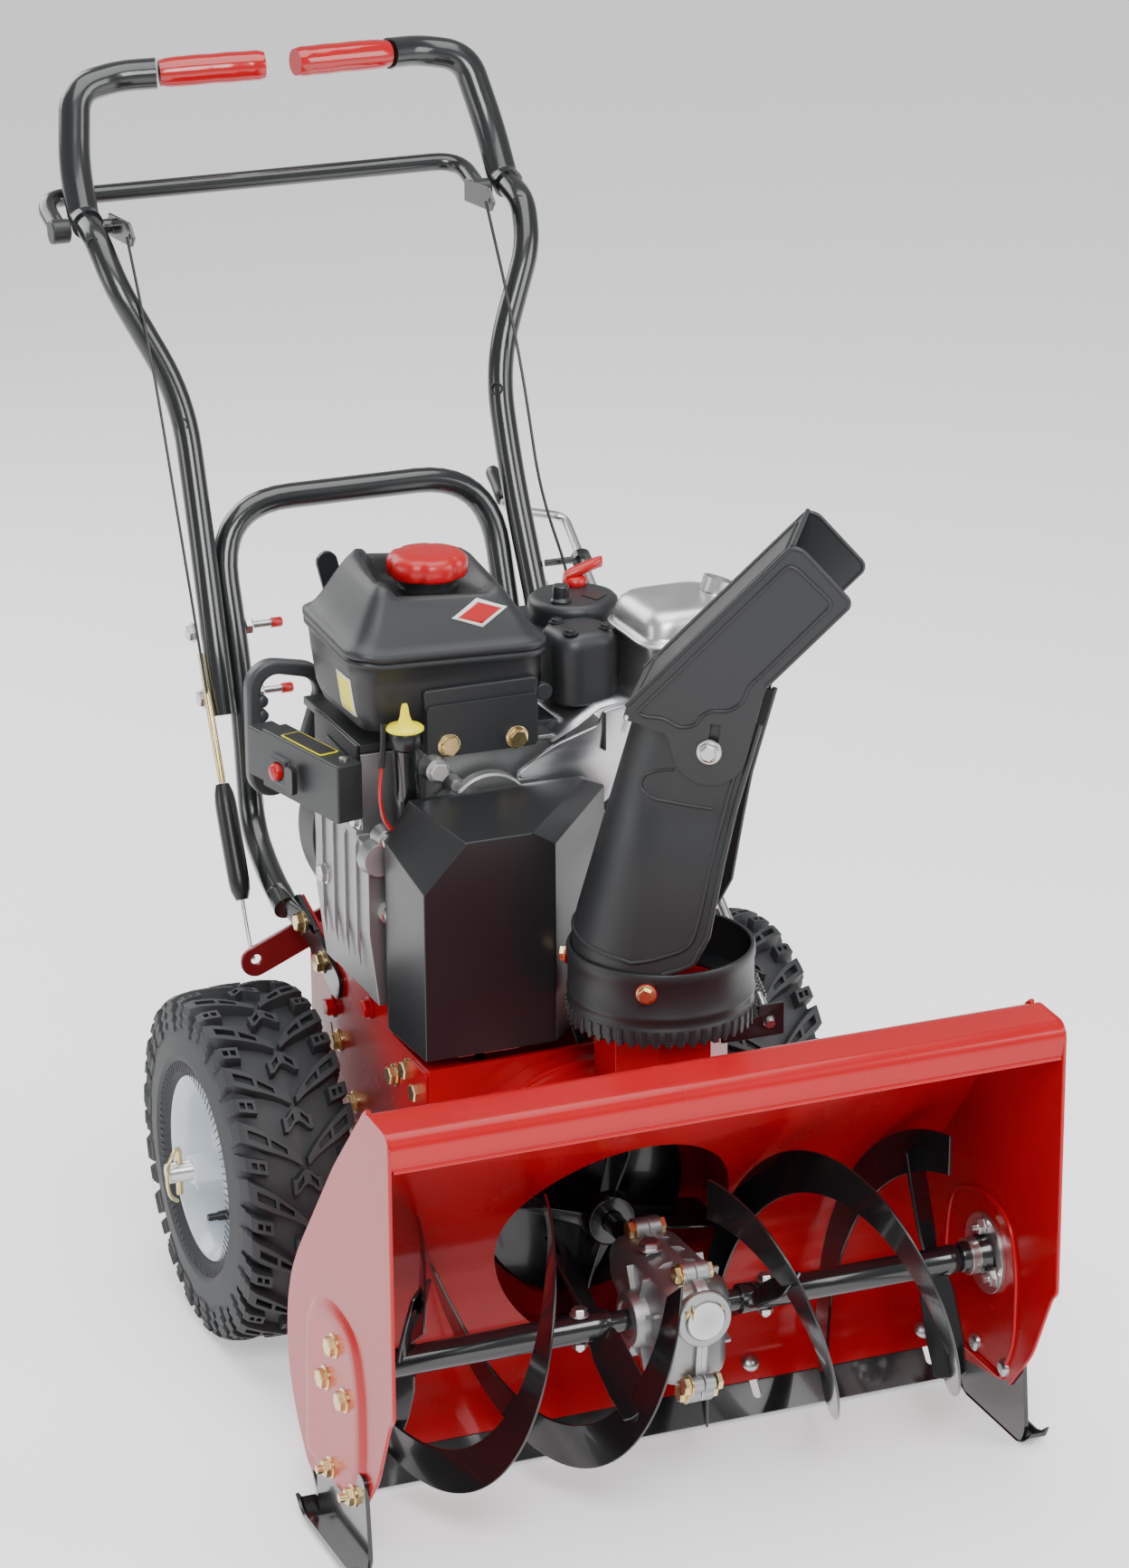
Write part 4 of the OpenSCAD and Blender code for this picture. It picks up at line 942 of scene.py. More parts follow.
def ring():
    base = V(*CHUTE_AXIS, 0)
    up = (0, 0, 1)
    profile = [(79, 376), (81, 375.2), (83, 376), (83, 389), (82.2, 390), (82.2, 396), (83.3, 397.5),
        (83.3, 401), (82.4, 402.5), (82.4, 430), (83.4, 432), (83.4, 439), (82.4, 441), (80, 441),
        (79, 440), (79, 402), (58, 401), (58, 399), (79, 398)]
    piece("ring_body", lathe(profile, base, up, 120, closed=True), PLASTIC, "chute", node="chute_ring")
    teeth = []
    for k in range(48):
        a = TAU * (k + 0.5) / 48
        u, w = Vector((cos(a), sin(a), 0)), Vector((-sin(a), cos(a), 0))
        c = base + MM * (82.2 * u + 374.6 * Z)
        shape = [(0, -3.4), (2.3, -2), (2.5, 0), (2.3, 2), (0, 3.4)]
        teeth.append(prism([c + MM * (p * u + q * w) for p, q in shape], 13.6 * MM * Vector(up)))
        c = base + MM * (77 * u + 372.8 * Z)
        teeth.append(prism([c + MM * (q * w + h * Vector(up)) for q, h in ((-3.4, 6), (-1.6, 0), (1.6, 0),
            (3.4, 6))], 7.5 * MM * u))
    piece("ring_teeth", teeth, PLASTIC, "chute", round_edges=0.5, sharp=35)
    bolts, red_washers = [], []
    for a in (-122, -32 + 180, 58):
        r = radians(a)
        u = Vector((cos(r), sin(r), 0))
        red_washers.append(lathe([(3, 0), (9.4, 0), (9.4, 1.2), (3, 1.2)], base + MM * (83.2 * u + 424 * Z),
            u, 28, closed=True))
        bolts.append(hex_bolt(base + MM * (84.2 * u + 424 * Z), u, 3.5, 4.5))
    piece("ring_bolts", bolts, YELLOW_ZINC, "chute", node="chute_bolts", slot="yellow_zinc", sharp=30)
    piece("ring_bolt_washers", red_washers, RED, "chute", sharp=30)
    side = []
    for way in (-1, 1):
        across = C(0, way, 0) - C(0, 0, 0)
        axis = across.normalized()
        side.append(lathe([(4, 0), (11, 0), (11.4, 0.8), (10.6, 2.2), (4, 2.4)], C(50, way * 54.8, 639),
            axis, 32, closed=True))
        side.append(hex_bolt(C(50, way * 56.8, 639), axis, 3.7, 4.5))
    piece("deflector_bolts", side, ZINC, "chute", sharp=30)


def deflector():
    outline = [(-22, 676, 3), (119, 825, 4), (128, 823, 4), (168, 781, 6), (168, 774, 4), (98, 700, 14)]
    outline += [(*p, 5) for p in arc((50, 641), 33, 33, [radians(a) for a in range(-20, -161, -20)])]
    outline += [(14, 652, 6), (-14, 662, 4), (-25, 664, 3)]
    shape = rounded_outline(outline, 4, 4)
    sweep = [radians(a) for a in (-26, -22, -18, -14, -10, -6, -2.4)]
    slot_line = arc((-20, 667), 80, 80, sweep) + arc((-20, 667), 71, 71, sweep[::-1])
    shapes, beads = [], []
    for way in (-1, 1):
        w0 = way * 52
        push = C(0, way * 2.5, 0) - C(0, 0, 0)
        shapes.append(prism([C(s, w0, z) for s, z in shape], push, [[C(s, w0, z) for s, z in slot_line]]))
        face = way * 54.6
        top_bead = [(-12, 672), (116, 808), (124, 806), (155, 776), (96, 712), (84, 700), (78, 684),
            (66, 676), (52, 676), (44, 672), (38, 662), (24, 659), (12, 667), (-6, 668)]
        path = rounded([C(s, face, z) for s, z in top_bead + top_bead[:1]], 6, 4)
        beads.append(tube(path[:-1], 1.7, 10, closed=True))
        rim = [(-22, 676), (119, 824), (128, 822), (168, 780), (168, 774), (98, 700)]
        beads.append(tube(rounded([C(s, way * 53.4, z) for s, z in rim], 8, 5), 2.1, 10))
    d = Vector((119 + 22, 825 - 676)).normalized()
    under = (d.y * 2.5, -d.x * 2.5)
    plate = [(-22, 676), (119, 825), (119 + under[0], 825 + under[1]), (-22 + under[0], 676 + under[1])]
    shapes.append(prism([C(s, -54, z) for s, z in plate], C(0, 108, 0) - C(0, 0, 0)))
    piece("deflector_shell", shapes, PLASTIC, "deflector", node="deflector", round_edges=1.1)
    base = (-22, 676)
    ring_path = [C(base[0] + d.x * l - d.y * 0.3, w, base[1] + d.y * l + d.x * 0.3) for l, w in
                 ((14, -44), (196, -44), (196, 44), (14, 44))]
    beads.append(tube(rounded(ring_path + ring_path[:1], 8, 4)[:-1], 1.4, 10, closed=True))
    beads.append(tube([C(119.6, -53, 825), C(119.6, 53, 825)], 2.2, 12))
    piece("deflector_beads", beads, PLASTIC, "deflector", sharp=80)


chute()
ring()
deflector()

# ---------------------------------------------------------------- tank
def box_ring(x0, x1, y0, y1, z, r, steps=6):
    """A rounded rectangle in plan at one height."""
    return [V(p.x, p.y, z) for p in rounded_outline([(x0, y0), (x1, y0), (x1, y1), (x0, y1)], r, steps)]


def smooth_step(a, b, x):
    t = min(1.0, max(0.0, (x - a) / (b - a)))
    return t * t * (3 - 2 * t)


def tank():
    def wave(ring, amount=1.0):
        """The seam dips towards the front corner and rises to the back."""
        return [Vector((p.x, p.y, p.z + MM * amount * (9 * smooth_step(-110, -160, p.x / MM)
                                                      + 7 * smooth_step(480, 600, p.y / MM + MID_Y) - 8)))
                for p in ring]
    lower = [box_ring(-146, 10, 468, 588, 602, 20), box_ring(-150, 14, 464, 592, 604, 22),
             box_ring(-156, 18, 460, 597, 620, 24), wave(box_ring(-160, 21, 457, 600, 648, 25), 0.6),
             wave(box_ring(-162, 22, 456, 601, 665, 26)), wave(box_ring(-165.5, 25.5, 452.5, 604, 667, 28)),
             wave(box_ring(-165.5, 25.5, 452.5, 604, 670, 28)), wave(box_ring(-163, 23, 455, 602, 672, 26)),
             wave(box_ring(-166, 26, 452, 605, 674, 28)), wave(box_ring(-166, 26, 452, 605, 678, 28)),
             wave(box_ring(-162, 22, 456, 601, 681, 26))]
    rim = lower[-1]
    mid = V(-66, 545, 0)
    rows = []
    for t in (0.97, 0.93, 0.88, 0.82, 0.76, 0.7, 0.64, 0.58, 0.52, 0.46, 0.4, 0.3, 0.2, 0.1):
        row = []
        for p in rim:
            q = mid + Vector(((p.x - mid.x) * t, (p.y - mid.y) * t, 0))
            x, y = q.x / MM, q.y / MM + MID_Y
            rise = 56 * smooth_step(0, 0.52, 1 - t) ** 0.8
            gap = hypot(x + 65, (y - 528) * 0.92)
            bowl = smooth_step(66, 44, gap)
            spill = smooth_step(30, 0, abs(x + 65) * 0.55) * smooth_step(520, 488, y)
            z = (p.z / MM) + rise
            z = z + (709 - z) * bowl
            z = z - 10 * spill * (1 - bowl) * smooth_step(0.1, 0.4, 1 - t)
            row.append(V(x, y, z))
        rows.append(row)
    verts, faces = loft(lower + rows)
    piece("tank_shell", (verts, faces), PLASTIC, node="fuel_tank", sharp=70)
    neck = lathe([(21, 704), (27, 704), (28, 706), (28, 714), (26, 716), (26, 722), (21, 722)], V(-65, 531,
        0), Z, 48, closed=True)
    piece("filler_neck", neck, SMOOTH_PLASTIC)
    flange = rounded_outline([(-98, 577), (8, 577), (8, 626), (-98, 626)], 6, 4)
    piece("tank_foot", prism(at_y(449, flange), 14 * MM * Y), PLASTIC, round_edges=2.2)
    shoulder = loft([at_y(y, rounded_outline([(-98, 618), (8, 618), (10, 640), (-100, 640)], 5, 4))
        for y in (452, 462)])
    piece("tank_shoulder", shoulder, PLASTIC, round_edges=2)
    lug = lathe([(0, 0), (7, 0), (8, 1), (8, 9), (0, 9)], V(18, 458, 622), Y, 24)
    piece("tank_lug", lug, PLASTIC)
    bolts = [hex_bolt(V(x, 448.6, z), -Y, 4.4, 5.5) for x, z in ((-78, 588), (-13, 587))]
    piece("tank_bolts", bolts, YELLOW_ZINC, sharp=30)
    # blank diamond badge on the front slope and a blank label on the left side, both laid on the shell
    shell = BVHTree.FromPolygons(verts, faces)

    def laid(name, mat, slot, start, way, lift):
        """A thin plate of rows of points dropped along one direction onto the tank."""
        rows = [[shell.ray_cast(p, way)[0] - lift * MM * way for p in row] for row in start]
        ob = piece(name, loft(rows, close=False, caps=False), mat, slot=slot, sharp=80)
        modifier(ob, "SOLIDIFY", thickness=0.0008, offset=0)

    ahead, aside = (Y, X)
    for name, mat, slot, wide, tall, lift in (("badge_plate", LABEL, "grey_plastic", 27, 11.5, 0.5),
                                              ("badge_centre", RED_PLASTIC, "red_plastic", 21, 8.5, 1.1)):
        rows = []
        for k in range(17):
            t = k / 8 - 1
            h = max(0.3, tall * (1 - abs(t)))
            rows.append([V(-37 + wide * t, 400, 699 + 1.5 * t + h * (j / 4 - 1)) for j in range(9)])
        laid(name, mat, slot, rows, ahead, lift)
    for name, mat, slot, grow, lift in (("tank_label", LABEL, "grey_plastic", 0, 0.5),
                                        ("tank_label_field", YELLOW, "yellow_plastic", -3, 0.9)):
        rows = [[V(-220, y, z) for z in [616 - grow + (36 + 2 * grow) * j / 6 for j in range(7)]]
                for y in [476 - grow + (34 + 2 * grow) * k / 6 for k in range(7)]]
        laid(name, mat, slot, rows, aside, lift)


def caps():
    sections = []
    for r, z in ((27, 722.8), (35, 723), (36.6, 725), (36.8, 733), (36, 738), (33, 741.5), (27, 743.4),
        (14, 744), (0.5, 744)):
        lobed = [(a, r - 2.6 * min(1, r / 30) * max(0, cos(6 * a)) ** 3) for a in turns(72)]
        sections.append([V(FILLER[0] + q * cos(a), FILLER[1] + q * sin(a), z) for a, q in lobed])
    piece("fuel_cap_shell", loft(sections), RED_PLASTIC, "fuel_cap", node="fuel_cap", sharp=60)
    plug = lathe([(0, 706), (19.5, 706), (20.3, 708), (20.3, 723), (0, 723)], V(*FILLER, 0), Z, 40)
    piece("fuel_cap_plug", plug, SMOOTH_PLASTIC, "fuel_cap", slot="red_plastic")
    disc = lathe([(0, 612.3), (15.5, 612.3), (17, 613.4), (17, 615), (15, 616.8), (9, 618), (4, 620),
        (0, 620)], V(*DIPSTICK, 0), Z, 48)
    tab = []
    for z, w, d in ((616, 9, 3), (620, 7, 2.6), (626, 4.6, 2.2), (634, 3.4, 1.8), (637, 2.4, 1.2)):
        tab.append(at_z(z, arc(DIPSTICK, w, d, turns(20))))
    piece("dipstick_disc", disc, YELLOW, "dipstick_cap", node="dipstick_cap", sharp=50)
    piece("dipstick_tab", loft(tab), YELLOW, "dipstick_cap", sharp=60)
    path = [V(-113, 459.5, 507.5).lerp(V(-118, 449, 552), k / 6) for k in range(7)]
    path += [V(-118, 449, 552).lerp(V(-124, 436, 598), k / 6) for k in range(1, 7)]
    radii = [11, 11, 11, 10.6, 10.6, 11.6, 11.8, 10.8, 10.8, 10.8, 11, 11, 11.4]
    piece("dipstick_pipe", tube(path, radii, 32), BLACK, node="dipstick_tube", sharp=50)
    collar = lathe([(0, 596), (12, 596), (13.5, 598), (13.8, 610), (12.5, 612), (0, 612)], V(*DIPSTICK, 0),
        Z, 40)
    piece("dipstick_collar", collar, SMOOTH_PLASTIC)
    wire = [(-143, 440, 600), (-146, 437, 582), (-150, 435, 555), (-146, 434, 530), (-134, 433, 516),
            (-121, 436, 522), (-119, 442, 533)]
    points = rounded([V(*p) for p in wire], 22, 6)
    piece("ground_wire", tube(points, 1.9, 14), VINYL, slot="red_plastic", sharp=80)
    sleeve = [V(-141, 444, 618), V(-143, 440, 600), V(-146.2, 437, 580)]
    piece("wire_sleeve", tube(sleeve, 2.8, 14), SOFT_BLACK)


# ---------------------------------------------------------------- engine
def engine():
    cad_copy("crankcase", CAST, 2.2, sharp=25)
    cad_copy("blower_shroud", PLASTIC, 2.0)
    cad_copy("recoil_housing", PLASTIC, 2.5)
    cad_copy("starter_box", PLASTIC, 2.6)
    cad_copy("belt_cover", SMOOTH_PLASTIC, 9, sharp=20)
    extra = [lathe([(16, 444), (16, 436), (30, 434), (34, 437), (36, 446), (41, 446), (43, 440), (46, 440),
        (48, 447)], V(-60, 0, 455), Y, 48), lathe([(22, 446), (22, 438), (24, 436), (38, 436), (40, 438),
        (41, 446)], V(-44, 0, 520), Y, 48)]
    for x, z, r in ((-79, 534, 10), (-8, 526, 11), (-93, 569, 11), (-142, 511, 9), (-75, 552, 6), (-23, 540,
        8), (-148, 492, 16), (28, 500, 9), (-140, 440, 9), (30, 420, 10)):
        extra.append(lathe([(0, 452), (r + 2, 452), (r, 440), (r - 1, 438.5), (0, 438.5)], V(x, 0, z), Y,
            28))
    extra.append(prism(at_y(441, rounded_outline([(-92, 530), (-74, 556), (-66, 556), (-66, 546),
        (-76, 524), (-88, 522)], 5, 3)), 8 * MM * Y))
    extra.append(prism(at_y(442, rounded_outline([(-30, 548), (6, 548), (16, 538), (16, 518), (-6, 514),
        (-30, 530)], 6, 3)), 8 * MM * Y))
    for k in range(7):
        z = 470 + 14 * k
        extra.append(prism(at_z(z, rounded_outline([(40, 466), (62, 458), (106, 458), (108, 566),
            (40, 566)], 8, 3)), 3.4 * MM * Z))
    for y in (470, 500, 530, 560):
        extra.append(prism([V(-157.5, y, 380), V(-160.5, y, 400), V(-160.5, y, 498), V(-157, y, 506)],
            5 * MM * Y))
    piece("crankcase_bosses", extra, CAST, round_edges=1.0, sharp=35)
    bolts = [hex_bolt(V(x, 438.4, z), -Y, s, 5) for x, z, s in ((-79, 534, 4.4), (-8, 526, 4.4), (-93, 569,
        4.6), (-142, 511, 3.4), (28, 500, 4), (-140, 440, 4))]
    bolts += [hex_bolt(V(-158, 470, 524), -X, 4.5, 5), hex_bolt(V(-158, 560, 440), -X, 4.5, 5)]
    piece("crankcase_bolts", bolts, ZINC, sharp=30)
    gasket = prism(at_y(452, ((-95, 580), (24, 580), (24, 583.5), (-95, 583.5))), 100 * MM * Y)
    piece("tank_rail", gasket, SHEET_METAL, round_edges=0.8)
    # curved sheet that guides the cooling air round the cylinder
    shield = [(-16, 553), (8, 570), (22, 578), (63, 591), (67, 603), (106, 608), (112, 597), (96, 560),
        (82, 526), (64, 513), (14, 517), (-4, 530)]
    rings = []
    for push, k in ((0, 1), (2.5, 1), (3.5, 0.975)):
        ring = []
        for x, z in rounded_outline(shield, 5, 4):
            q = Vector((48, 560)) + (Vector((x, z)) - Vector((48, 560))) * k
            ring.append(V(q.x, 449 - push - 7 * cos((q.x - 48) / 70 * 1.4), q.y))
        rings.append(ring)
    piece("air_guide", loft(rings), SHEET_METAL, node="cylinder_shield", sharp=50)
    roof = loft([[V(x, y, z) for y in (445, 470, 520, 566)] for x, z in ((20, 578), (44, 590), (66, 604),
        (90, 608), (110, 603), (114, 588), (114, 520), (112, 484))], close=False, caps=False)
    side_panel = piece("air_guide_side", roof, SHEET_METAL, sharp=60)
    modifier(side_panel, "SOLIDIFY", thickness=0.0015, offset=0)
    # the slit in the air guide is a thin black plate of painted shade laid on the sheet
    slit = at_y(437.6, rounded_outline([(66.6, 602), (69.2, 602), (69.2, 566), (66.6, 566)], 1, 3))
    piece("guide_slit_painted_shade", prism(slit, 3 * MM * Y), DARK_PRINT_AND_SHADE)
    piece("guide_bolt", hex_bolt(V(51, 438.5, 525), -Y, 4.2, 5), ZINC, sharp=30)


def muffler():
    levels = [(3, 600, 22), (0, 604, 24), (0, 640, 24), (-0.5, 660, 24), (-3.4, 662, 27), (-3.8, 664.5, 27),
        (-3.4, 667, 27), (-0.5, 668.5, 24), (0, 672, 25), (1.2, 680, 25), (4, 687, 25), (9, 691.5, 24),
        (18, 693.5, 20), (30, 694, 14)]
    rings = [box_ring(104 + i, 202 - i, 414 + i, 518 - i, z, r, 8) for i, z, r in levels]
    piece("muffler_shell", loft(rings), MUFFLER, node="muffler", sharp=70)
    seam = box_ring(99.8, 206.2, 409.8, 522.2, 664.4, 28, 8)
    piece("muffler_seam", tube(seam, 2.0, 12, closed=True), MUFFLER, sharp=80)
    flange = [lathe([(0, 0), (10, 0), (12, 2), (12, 18), (0, 18)], V(124, 500, 586), Z, 28),
        lathe([(13, 0), (15, 1), (15, 14), (13, 14)], V(190, 470, 690), (0.35, 0, 1), 28, closed=True)]
    piece("muffler_fittings", flange, MUFFLER)


def carb():
    body = [box_ring(30 + i, 127 - i, 524 + i, 620 - i, z, r) for i, z, r in
            ((2, 600.6, 14), (0, 604, 16), (0, 640, 16), (2, 648, 16), (6, 652.5, 14), (16, 654, 10))]
    shapes = [loft(body)]
    rings = []
    for i, z in ((1.5, 602), (0, 606), (0, 652), (1.5, 660), (5, 665.5), (10, 668), (17, 669)):
        rings.append([V(p.x, p.y, z) for p in rounded_outline([(35 + i, 459 + i), (97 - i, 460 + i),
            (99 - i, 525 - i), (34 + i, 525 - i)], 24 - i * 0.5, 8)])
    shapes.append(loft(rings))
    disc = lathe([(0, 650), (40, 650), (42, 653), (42, 668), (41, 672), (38, 675), (33, 676.2), (0, 676.5)],
        V(88, 560, 0), Z, 64)
    shapes.append(disc)
    piece("carb_cover_shell", shapes, PLASTIC, node="carb_cover", round_edges=1.5, sharp=50)
    knob = loft([[V(69 + w * cos(a) * c, 543 + w * sin(a) * c, z) for a, c in [(TAU * k / 16 + 0.3,
        1.0 if k % 4 in (0,) else 0.93 if k % 4 in (1, 3) else 0.86) for k in range(16)]] for w,
        z in ((11, 676), (11, 678), (8.5, 680), (8.5, 690), (7.5, 692))])
    piece("choke_knob", knob, SMOOTH_PLASTIC, round_edges=0.9)
    screws = []
    for x, y, z in ((51, 509, 668.5), (50, 474, 668.5), (86, 478, 668.5), (112, 600, 653)):
        screws.append(lathe([(7.5, 0), (7.5, 1), (5, 1.4), (4.6, 3.4), (3, 4.2), (0, 4.3)], V(x, y, z), Z,
            20))
    piece("carb_screws", screws, SMOOTH_PLASTIC, sharp=30)
    mark = at_z(676.6, rounded_outline([(100, 532), (116, 545), (106, 566), (92, 552)], 2, 3))
    piece("choke_mark", prism(mark, 0.5 * MM * Z), DARK_PRINT_AND_SHADE)
    lever = [lathe([(0, 676.5), (11, 676.5), (11.6, 678), (11, 683), (7, 685), (0, 685.5)], V(100, 585, 0),
        Z, 32)]
    blade = []
    for s, w, z in ((-10, 4, 688), (-4, 6, 691), (6, 6.5, 694), (16, 6, 697), (24, 4.6, 699), (27, 2.4,
        699)):
        blade.append(at_x(100 + s, arc((585, z - 4), w, 5.5, turns(16))))
    lever.append(loft(blade))
    piece("throttle_grip", lever, RED_PLASTIC, "throttle_lever", node="throttle_lever", sharp=60)


def on_box(x, y, z):
    a = radians(12)
    return V(-185 + x * cos(a) - y * sin(a), 530 + x * sin(a) + y * cos(a), z)


def starter():
    top = [on_box(x, y, 580.3) for x, y in rounded_outline([(-10, -42), (10, -42), (10, 26), (-10, 26)], 2,
        3)]
    piece("starter_label_rim", prism(top, 0.5 * MM * Z), YELLOW)
    edge = rounded_outline([(-8.6, -40), (8.6, -40), (8.6, 24), (-8.6, 24)], 2, 3)
    inner = [on_box(x, y, 580.9) for x, y in edge]
    piece("starter_label", prism(inner, 0.4 * MM * Z), DARK_PRINT_AND_SHADE, slot="grey_plastic")
    pins = [tube([on_box(dx, 60, 553 + dz), on_box(dx, 74, 553 + dz)], 2.2, 12) for dx, dz in
            ((-5, -6), (5, -6), (0, 7))]
    piece("inlet_pins", pins, YELLOW_ZINC)
    edge = rounded_outline([(-14, 536), (-1, 536), (-1, 562), (-14, 562)], 5, 4)
    rocker = [on_box(-17.3, y, z) for y, z in edge]
    way = on_box(-23, 0, 0) - on_box(-17.3, 0, 0)
    piece("rocker_bezel", prism(rocker, way), SMOOTH_PLASTIC, round_edges=1.4)
    axis = (on_box(-1, 21, 0) - on_box(0, 21, 0)).normalized()
    button = lathe([(0, 10), (7.8, 10), (7.8, 20), (7, 22.4), (4, 23.6), (0, 24)], on_box(0, 21, 549), axis,
        32)
    piece("button_dome", button, RED_PLASTIC, "starter_button", node="starter_button", sharp=50)
    screw = lathe([(4.6, 0), (4.4, 1.6), (2, 2.4), (0, 2.4)], on_box(4, -60, 580), Z, 18)
    piece("starter_screw", screw, ZINC)
    stub = tube([on_box(0, 78, 553), on_box(2, 92, 553)], 4, 16)
    piece("starter_rod", stub, ZINC)
    # cooling slots pressed into the shroud's left side, drawn as thin black plates of painted shade
    slots = [prism(at_x(-155.4, rounded_outline([(505, 567), (556, 570), (556, 575), (505, 572)], 2, 3)),
        -0.5 * MM * X)]
    slots.append(prism(at_x(-155.4, arc((480, 556), 6, 12, turns(24))), -0.5 * MM * X))
    piece("shroud_slots_painted_shade", slots, DARK_PRINT_AND_SHADE)
    # pull grip with four finger hollows
    cad_copy("recoil_grip", GREY_PLASTIC, 4.2, sharp=30)
    bumps = []
    for z in (538, 552, 566, 580):
        bumps.append(lathe([(0, -7.6), (4.6, -7.6), (6, -6), (6, 6), (4.6, 7.6), (0, 7.6)], V(-188.5, 642,
            z + 5), Y, 24))
    piece("grip_fingers", bumps, GREY_PLASTIC, "recoil_grip", sharp=50)


# ---------------------------------------------------------------- frame, levers, cables, crank
def frame_side():
    cad_copy("frame_box", RED, 1.4)
    bolts, nuts = [], []
    for side in (-1, 1):
        for i, (y, z) in enumerate(((635, 238), (545, 215), (436, 285), (400, 304), (375, 292), (602, 289),
            (586, 261), (500, 326))):
            (nuts if i in (5, 7) else bolts).append(hex_bolt(V(side * 139.4, y, z), side * X, 4.4, 6))
        for y, z in ((670, 350), (616, 329)):
            bolts.append(hex_bolt(V(side * 143.6, y, z), side * X, 4.6, 6))
    piece("frame_bolts", bolts, YELLOW_ZINC, node="chassis_bolts", slot="yellow_zinc", sharp=30)
    piece("frame_bolts_painted", nuts, RED, sharp=30)
    doubler = [(352, 72), (352, 318), (392, 318), (430, 262), (430, 72)]
    painted_slot_shades = []
    for side, name in SIDES:
        shape = at_x(side * 139.2, rounded_outline(doubler, 5, 4))
        piece("doubler_" + name, prism(shape, side * 2.2 * MM * X), RED, round_edges=0.7)
        # dark red ovals on the frame sides are painted shade standing for its slots
        for y, z in ((610, 262), (590, 258)):
            painted_slot_shades.append(prism(at_x(side * 139.2, arc((y, z), 3.6, 8, turns(20))), side * 0.4 * MM * X))
    piece("frame_slots_painted_shade", painted_slot_shades, DARK_RED_PAINT_AND_SHADE)
    axle = lathe([(0, -318), (8.8, -318), (9.5, -317), (9.5, 317), (8.8, 318), (0, 318)], V(0, *AXLE), X,
        40)
    piece("axle_bar", axle, ZINC, "axle", node="drive_axle")
    pins = []
    for side in (-1, 1):
        pins.append(tube([V(side * 306, 565, 187), V(side * 306, 565, 143)], 3.2, 16))
        hoop = [V(side * 306, 565, 189), V(side * 312, 556, 192), V(side * 321, 549, 182), V(side * 324,
            547, 165), V(side * 320, 550, 148), V(side * 311, 557, 140)]
        pins.append(tube(rounded(hoop, 14, 6), 1.8, 12))
    piece("klik_pins", pins, YELLOW_ZINC, "axle", node="axle_pins", sharp=50)


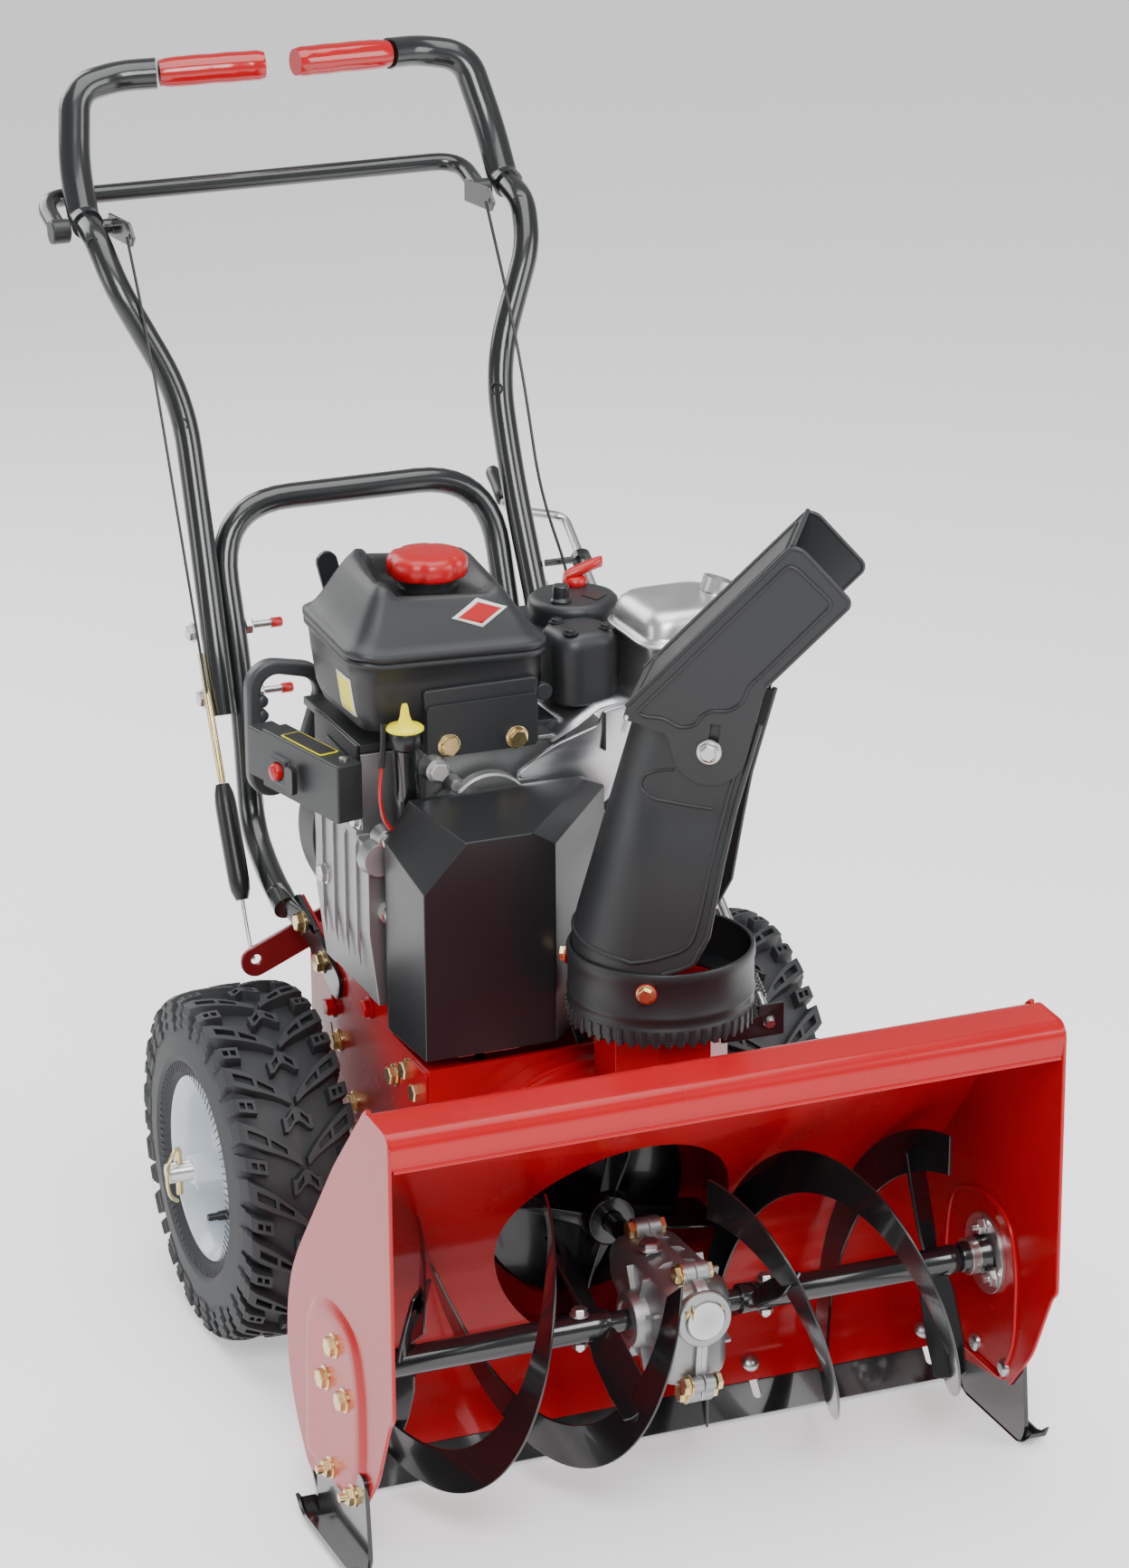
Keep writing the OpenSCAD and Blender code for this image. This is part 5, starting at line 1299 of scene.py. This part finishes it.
def controls():
    heads, stubs, tips = [], [], []
    for side in (-1, 1):
        for y, z in ((838, 524), (865, 582)):
            heads.append(lathe([(0, 178.4), (9, 178.4), (9.6, 179.4), (9.6, 180.6), (0, 181)], V(0, y, z),
                side * X, 28))
            heads.append(hex_bolt(V(side * 180.6, y, z), side * X, 4, 5, False))
            heads.append(hex_bolt(V(side * 127.3, y, z), -side * X, 4.2, 7, False))
            stubs.append(tube([V(side * 120, y, z), V(side * 92, y, z)], 3.5, 16))
            tips.append(tube([V(side * 101, y, z), V(side * 91, y, z), V(side * 89.8, y, z)], [4.9, 4.9,
                3.8], 20))
    piece("tube_bolt_heads", heads, ZINC, node="handle_bolts", slot="zinc", sharp=30)
    piece("tube_bolt_stubs", stubs, ZINC, sharp=30)
    piece("tube_bolt_caps", tips, RED_PLASTIC, sharp=50)
    foot = V(141.1, 236, 364.4)
    bend = V(225, 915, 636)
    axis = (bend - foot).normalized()
    arm = MM * Vector((-60, 1, 14))
    path = rounded([foot, foot + 0.3 * axis, bend, bend + arm, bend + arm + 0.06 * axis], 14, 6)
    piece("crank_rod", tube(path, 4.5, 20), ZINC, "chute_crank", node="chute_crank", sharp=60)
    hold = bend + arm
    grip = lathe([(0, 14), (6, 14), (7.3, 16), (7.5, 26), (7, 40), (7.5, 54), (7.5, 60), (6, 64), (0, 65)],
        hold, axis, 28)
    piece("crank_grip", grip, SMOOTH_PLASTIC, "chute_crank", sharp=60)
    worm = []
    for k in range(121):
        a = TAU * k / 20
        u = axis.orthogonal().normalized()
        w = axis.cross(u)
        worm.append(foot + axis * (0.036 + 0.00026 * k) + MM * 5.2 * (cos(a) * u + sin(a) * w))
    piece("crank_worm", tube(worm, 1.5, 8), BLACK, "chute_crank", sharp=80)
    foot_c = (-182, 710, 310)
    F = lambda dy, dz: V(foot_c[0], foot_c[1] + dy, foot_c[2] + dz)
    inner = rounded([V(-194, 985, 944), V(-193, 940, 868), V(-190, 915, 800), F(98, 200)], 60, 8)
    piece("inner_cable", tube(inner, 1.4, 12), SOFT_BLACK, "traction_cable", node="traction_cable",
        sharp=80)
    ferrule = tube([F(127, 260), F(112, 229), F(110, 226), F(72, 147)], [2.6, 2.9, 3.6, 3.6], 18)
    piece("cable_rod", ferrule, YELLOW_ZINC, "traction_cable", sharp=50)
    hook = rounded([F(22, 46), F(10, 20), F(2, 6), V(-182, 703, 306)], 6, 4)
    piece("cable_hook", tube(hook, 2, 12), ZINC, "traction_cable", sharp=60)
    boot_path = [F(72 - 50 * k / 12, 146 - 100 * k / 12) for k in range(13)]
    radii = [6.5, 9.2, 10.2, 10.4, 10.4, 10.4, 10.4, 10.4, 10.4, 10.3, 10.2, 9.4, 6]
    piece("boot_sleeve", tube(boot_path, radii, 28), SOFT_BLACK, "traction_cable", node="cable_boot",
        sharp=70)
    right = rounded([V(*p) for p in ((173, 985, 944), (175, 935, 860), (178, 905, 790), (180, 866, 680),
        (198, 838, 600), (200, 828, 540), (190, 780, 430), (176, 720, 330))], 40, 6)
    piece("auger_wire", tube(right, 1.5, 12), SOFT_BLACK, "auger_cable", node="auger_cable", sharp=80)
    cad_copy("traction_lever", DARK_RED_PAINT_AND_SHADE, 1.2)
    cad_copy("speed_lever", SMOOTH_PLASTIC, 2.0)
    cad_copy("clutch_arms", BLACK, 0.7)
    cad_copy("crank_brackets", BLACK, 0.7)
    cad_copy("bearings", ZINC, 0.6)


tank()
caps()
engine()
muffler()
carb()
starter()
frame_side()
controls()

for node_name in frame["nodes"]:
    shown = frame["nodes"][node_name]
    shown.data.materials.clear()
    shown.data.materials.append(SLOT_MATERIAL[SLOT_OF[node_name]])
    if not shown.hide_render:
        cad_copy(node_name)
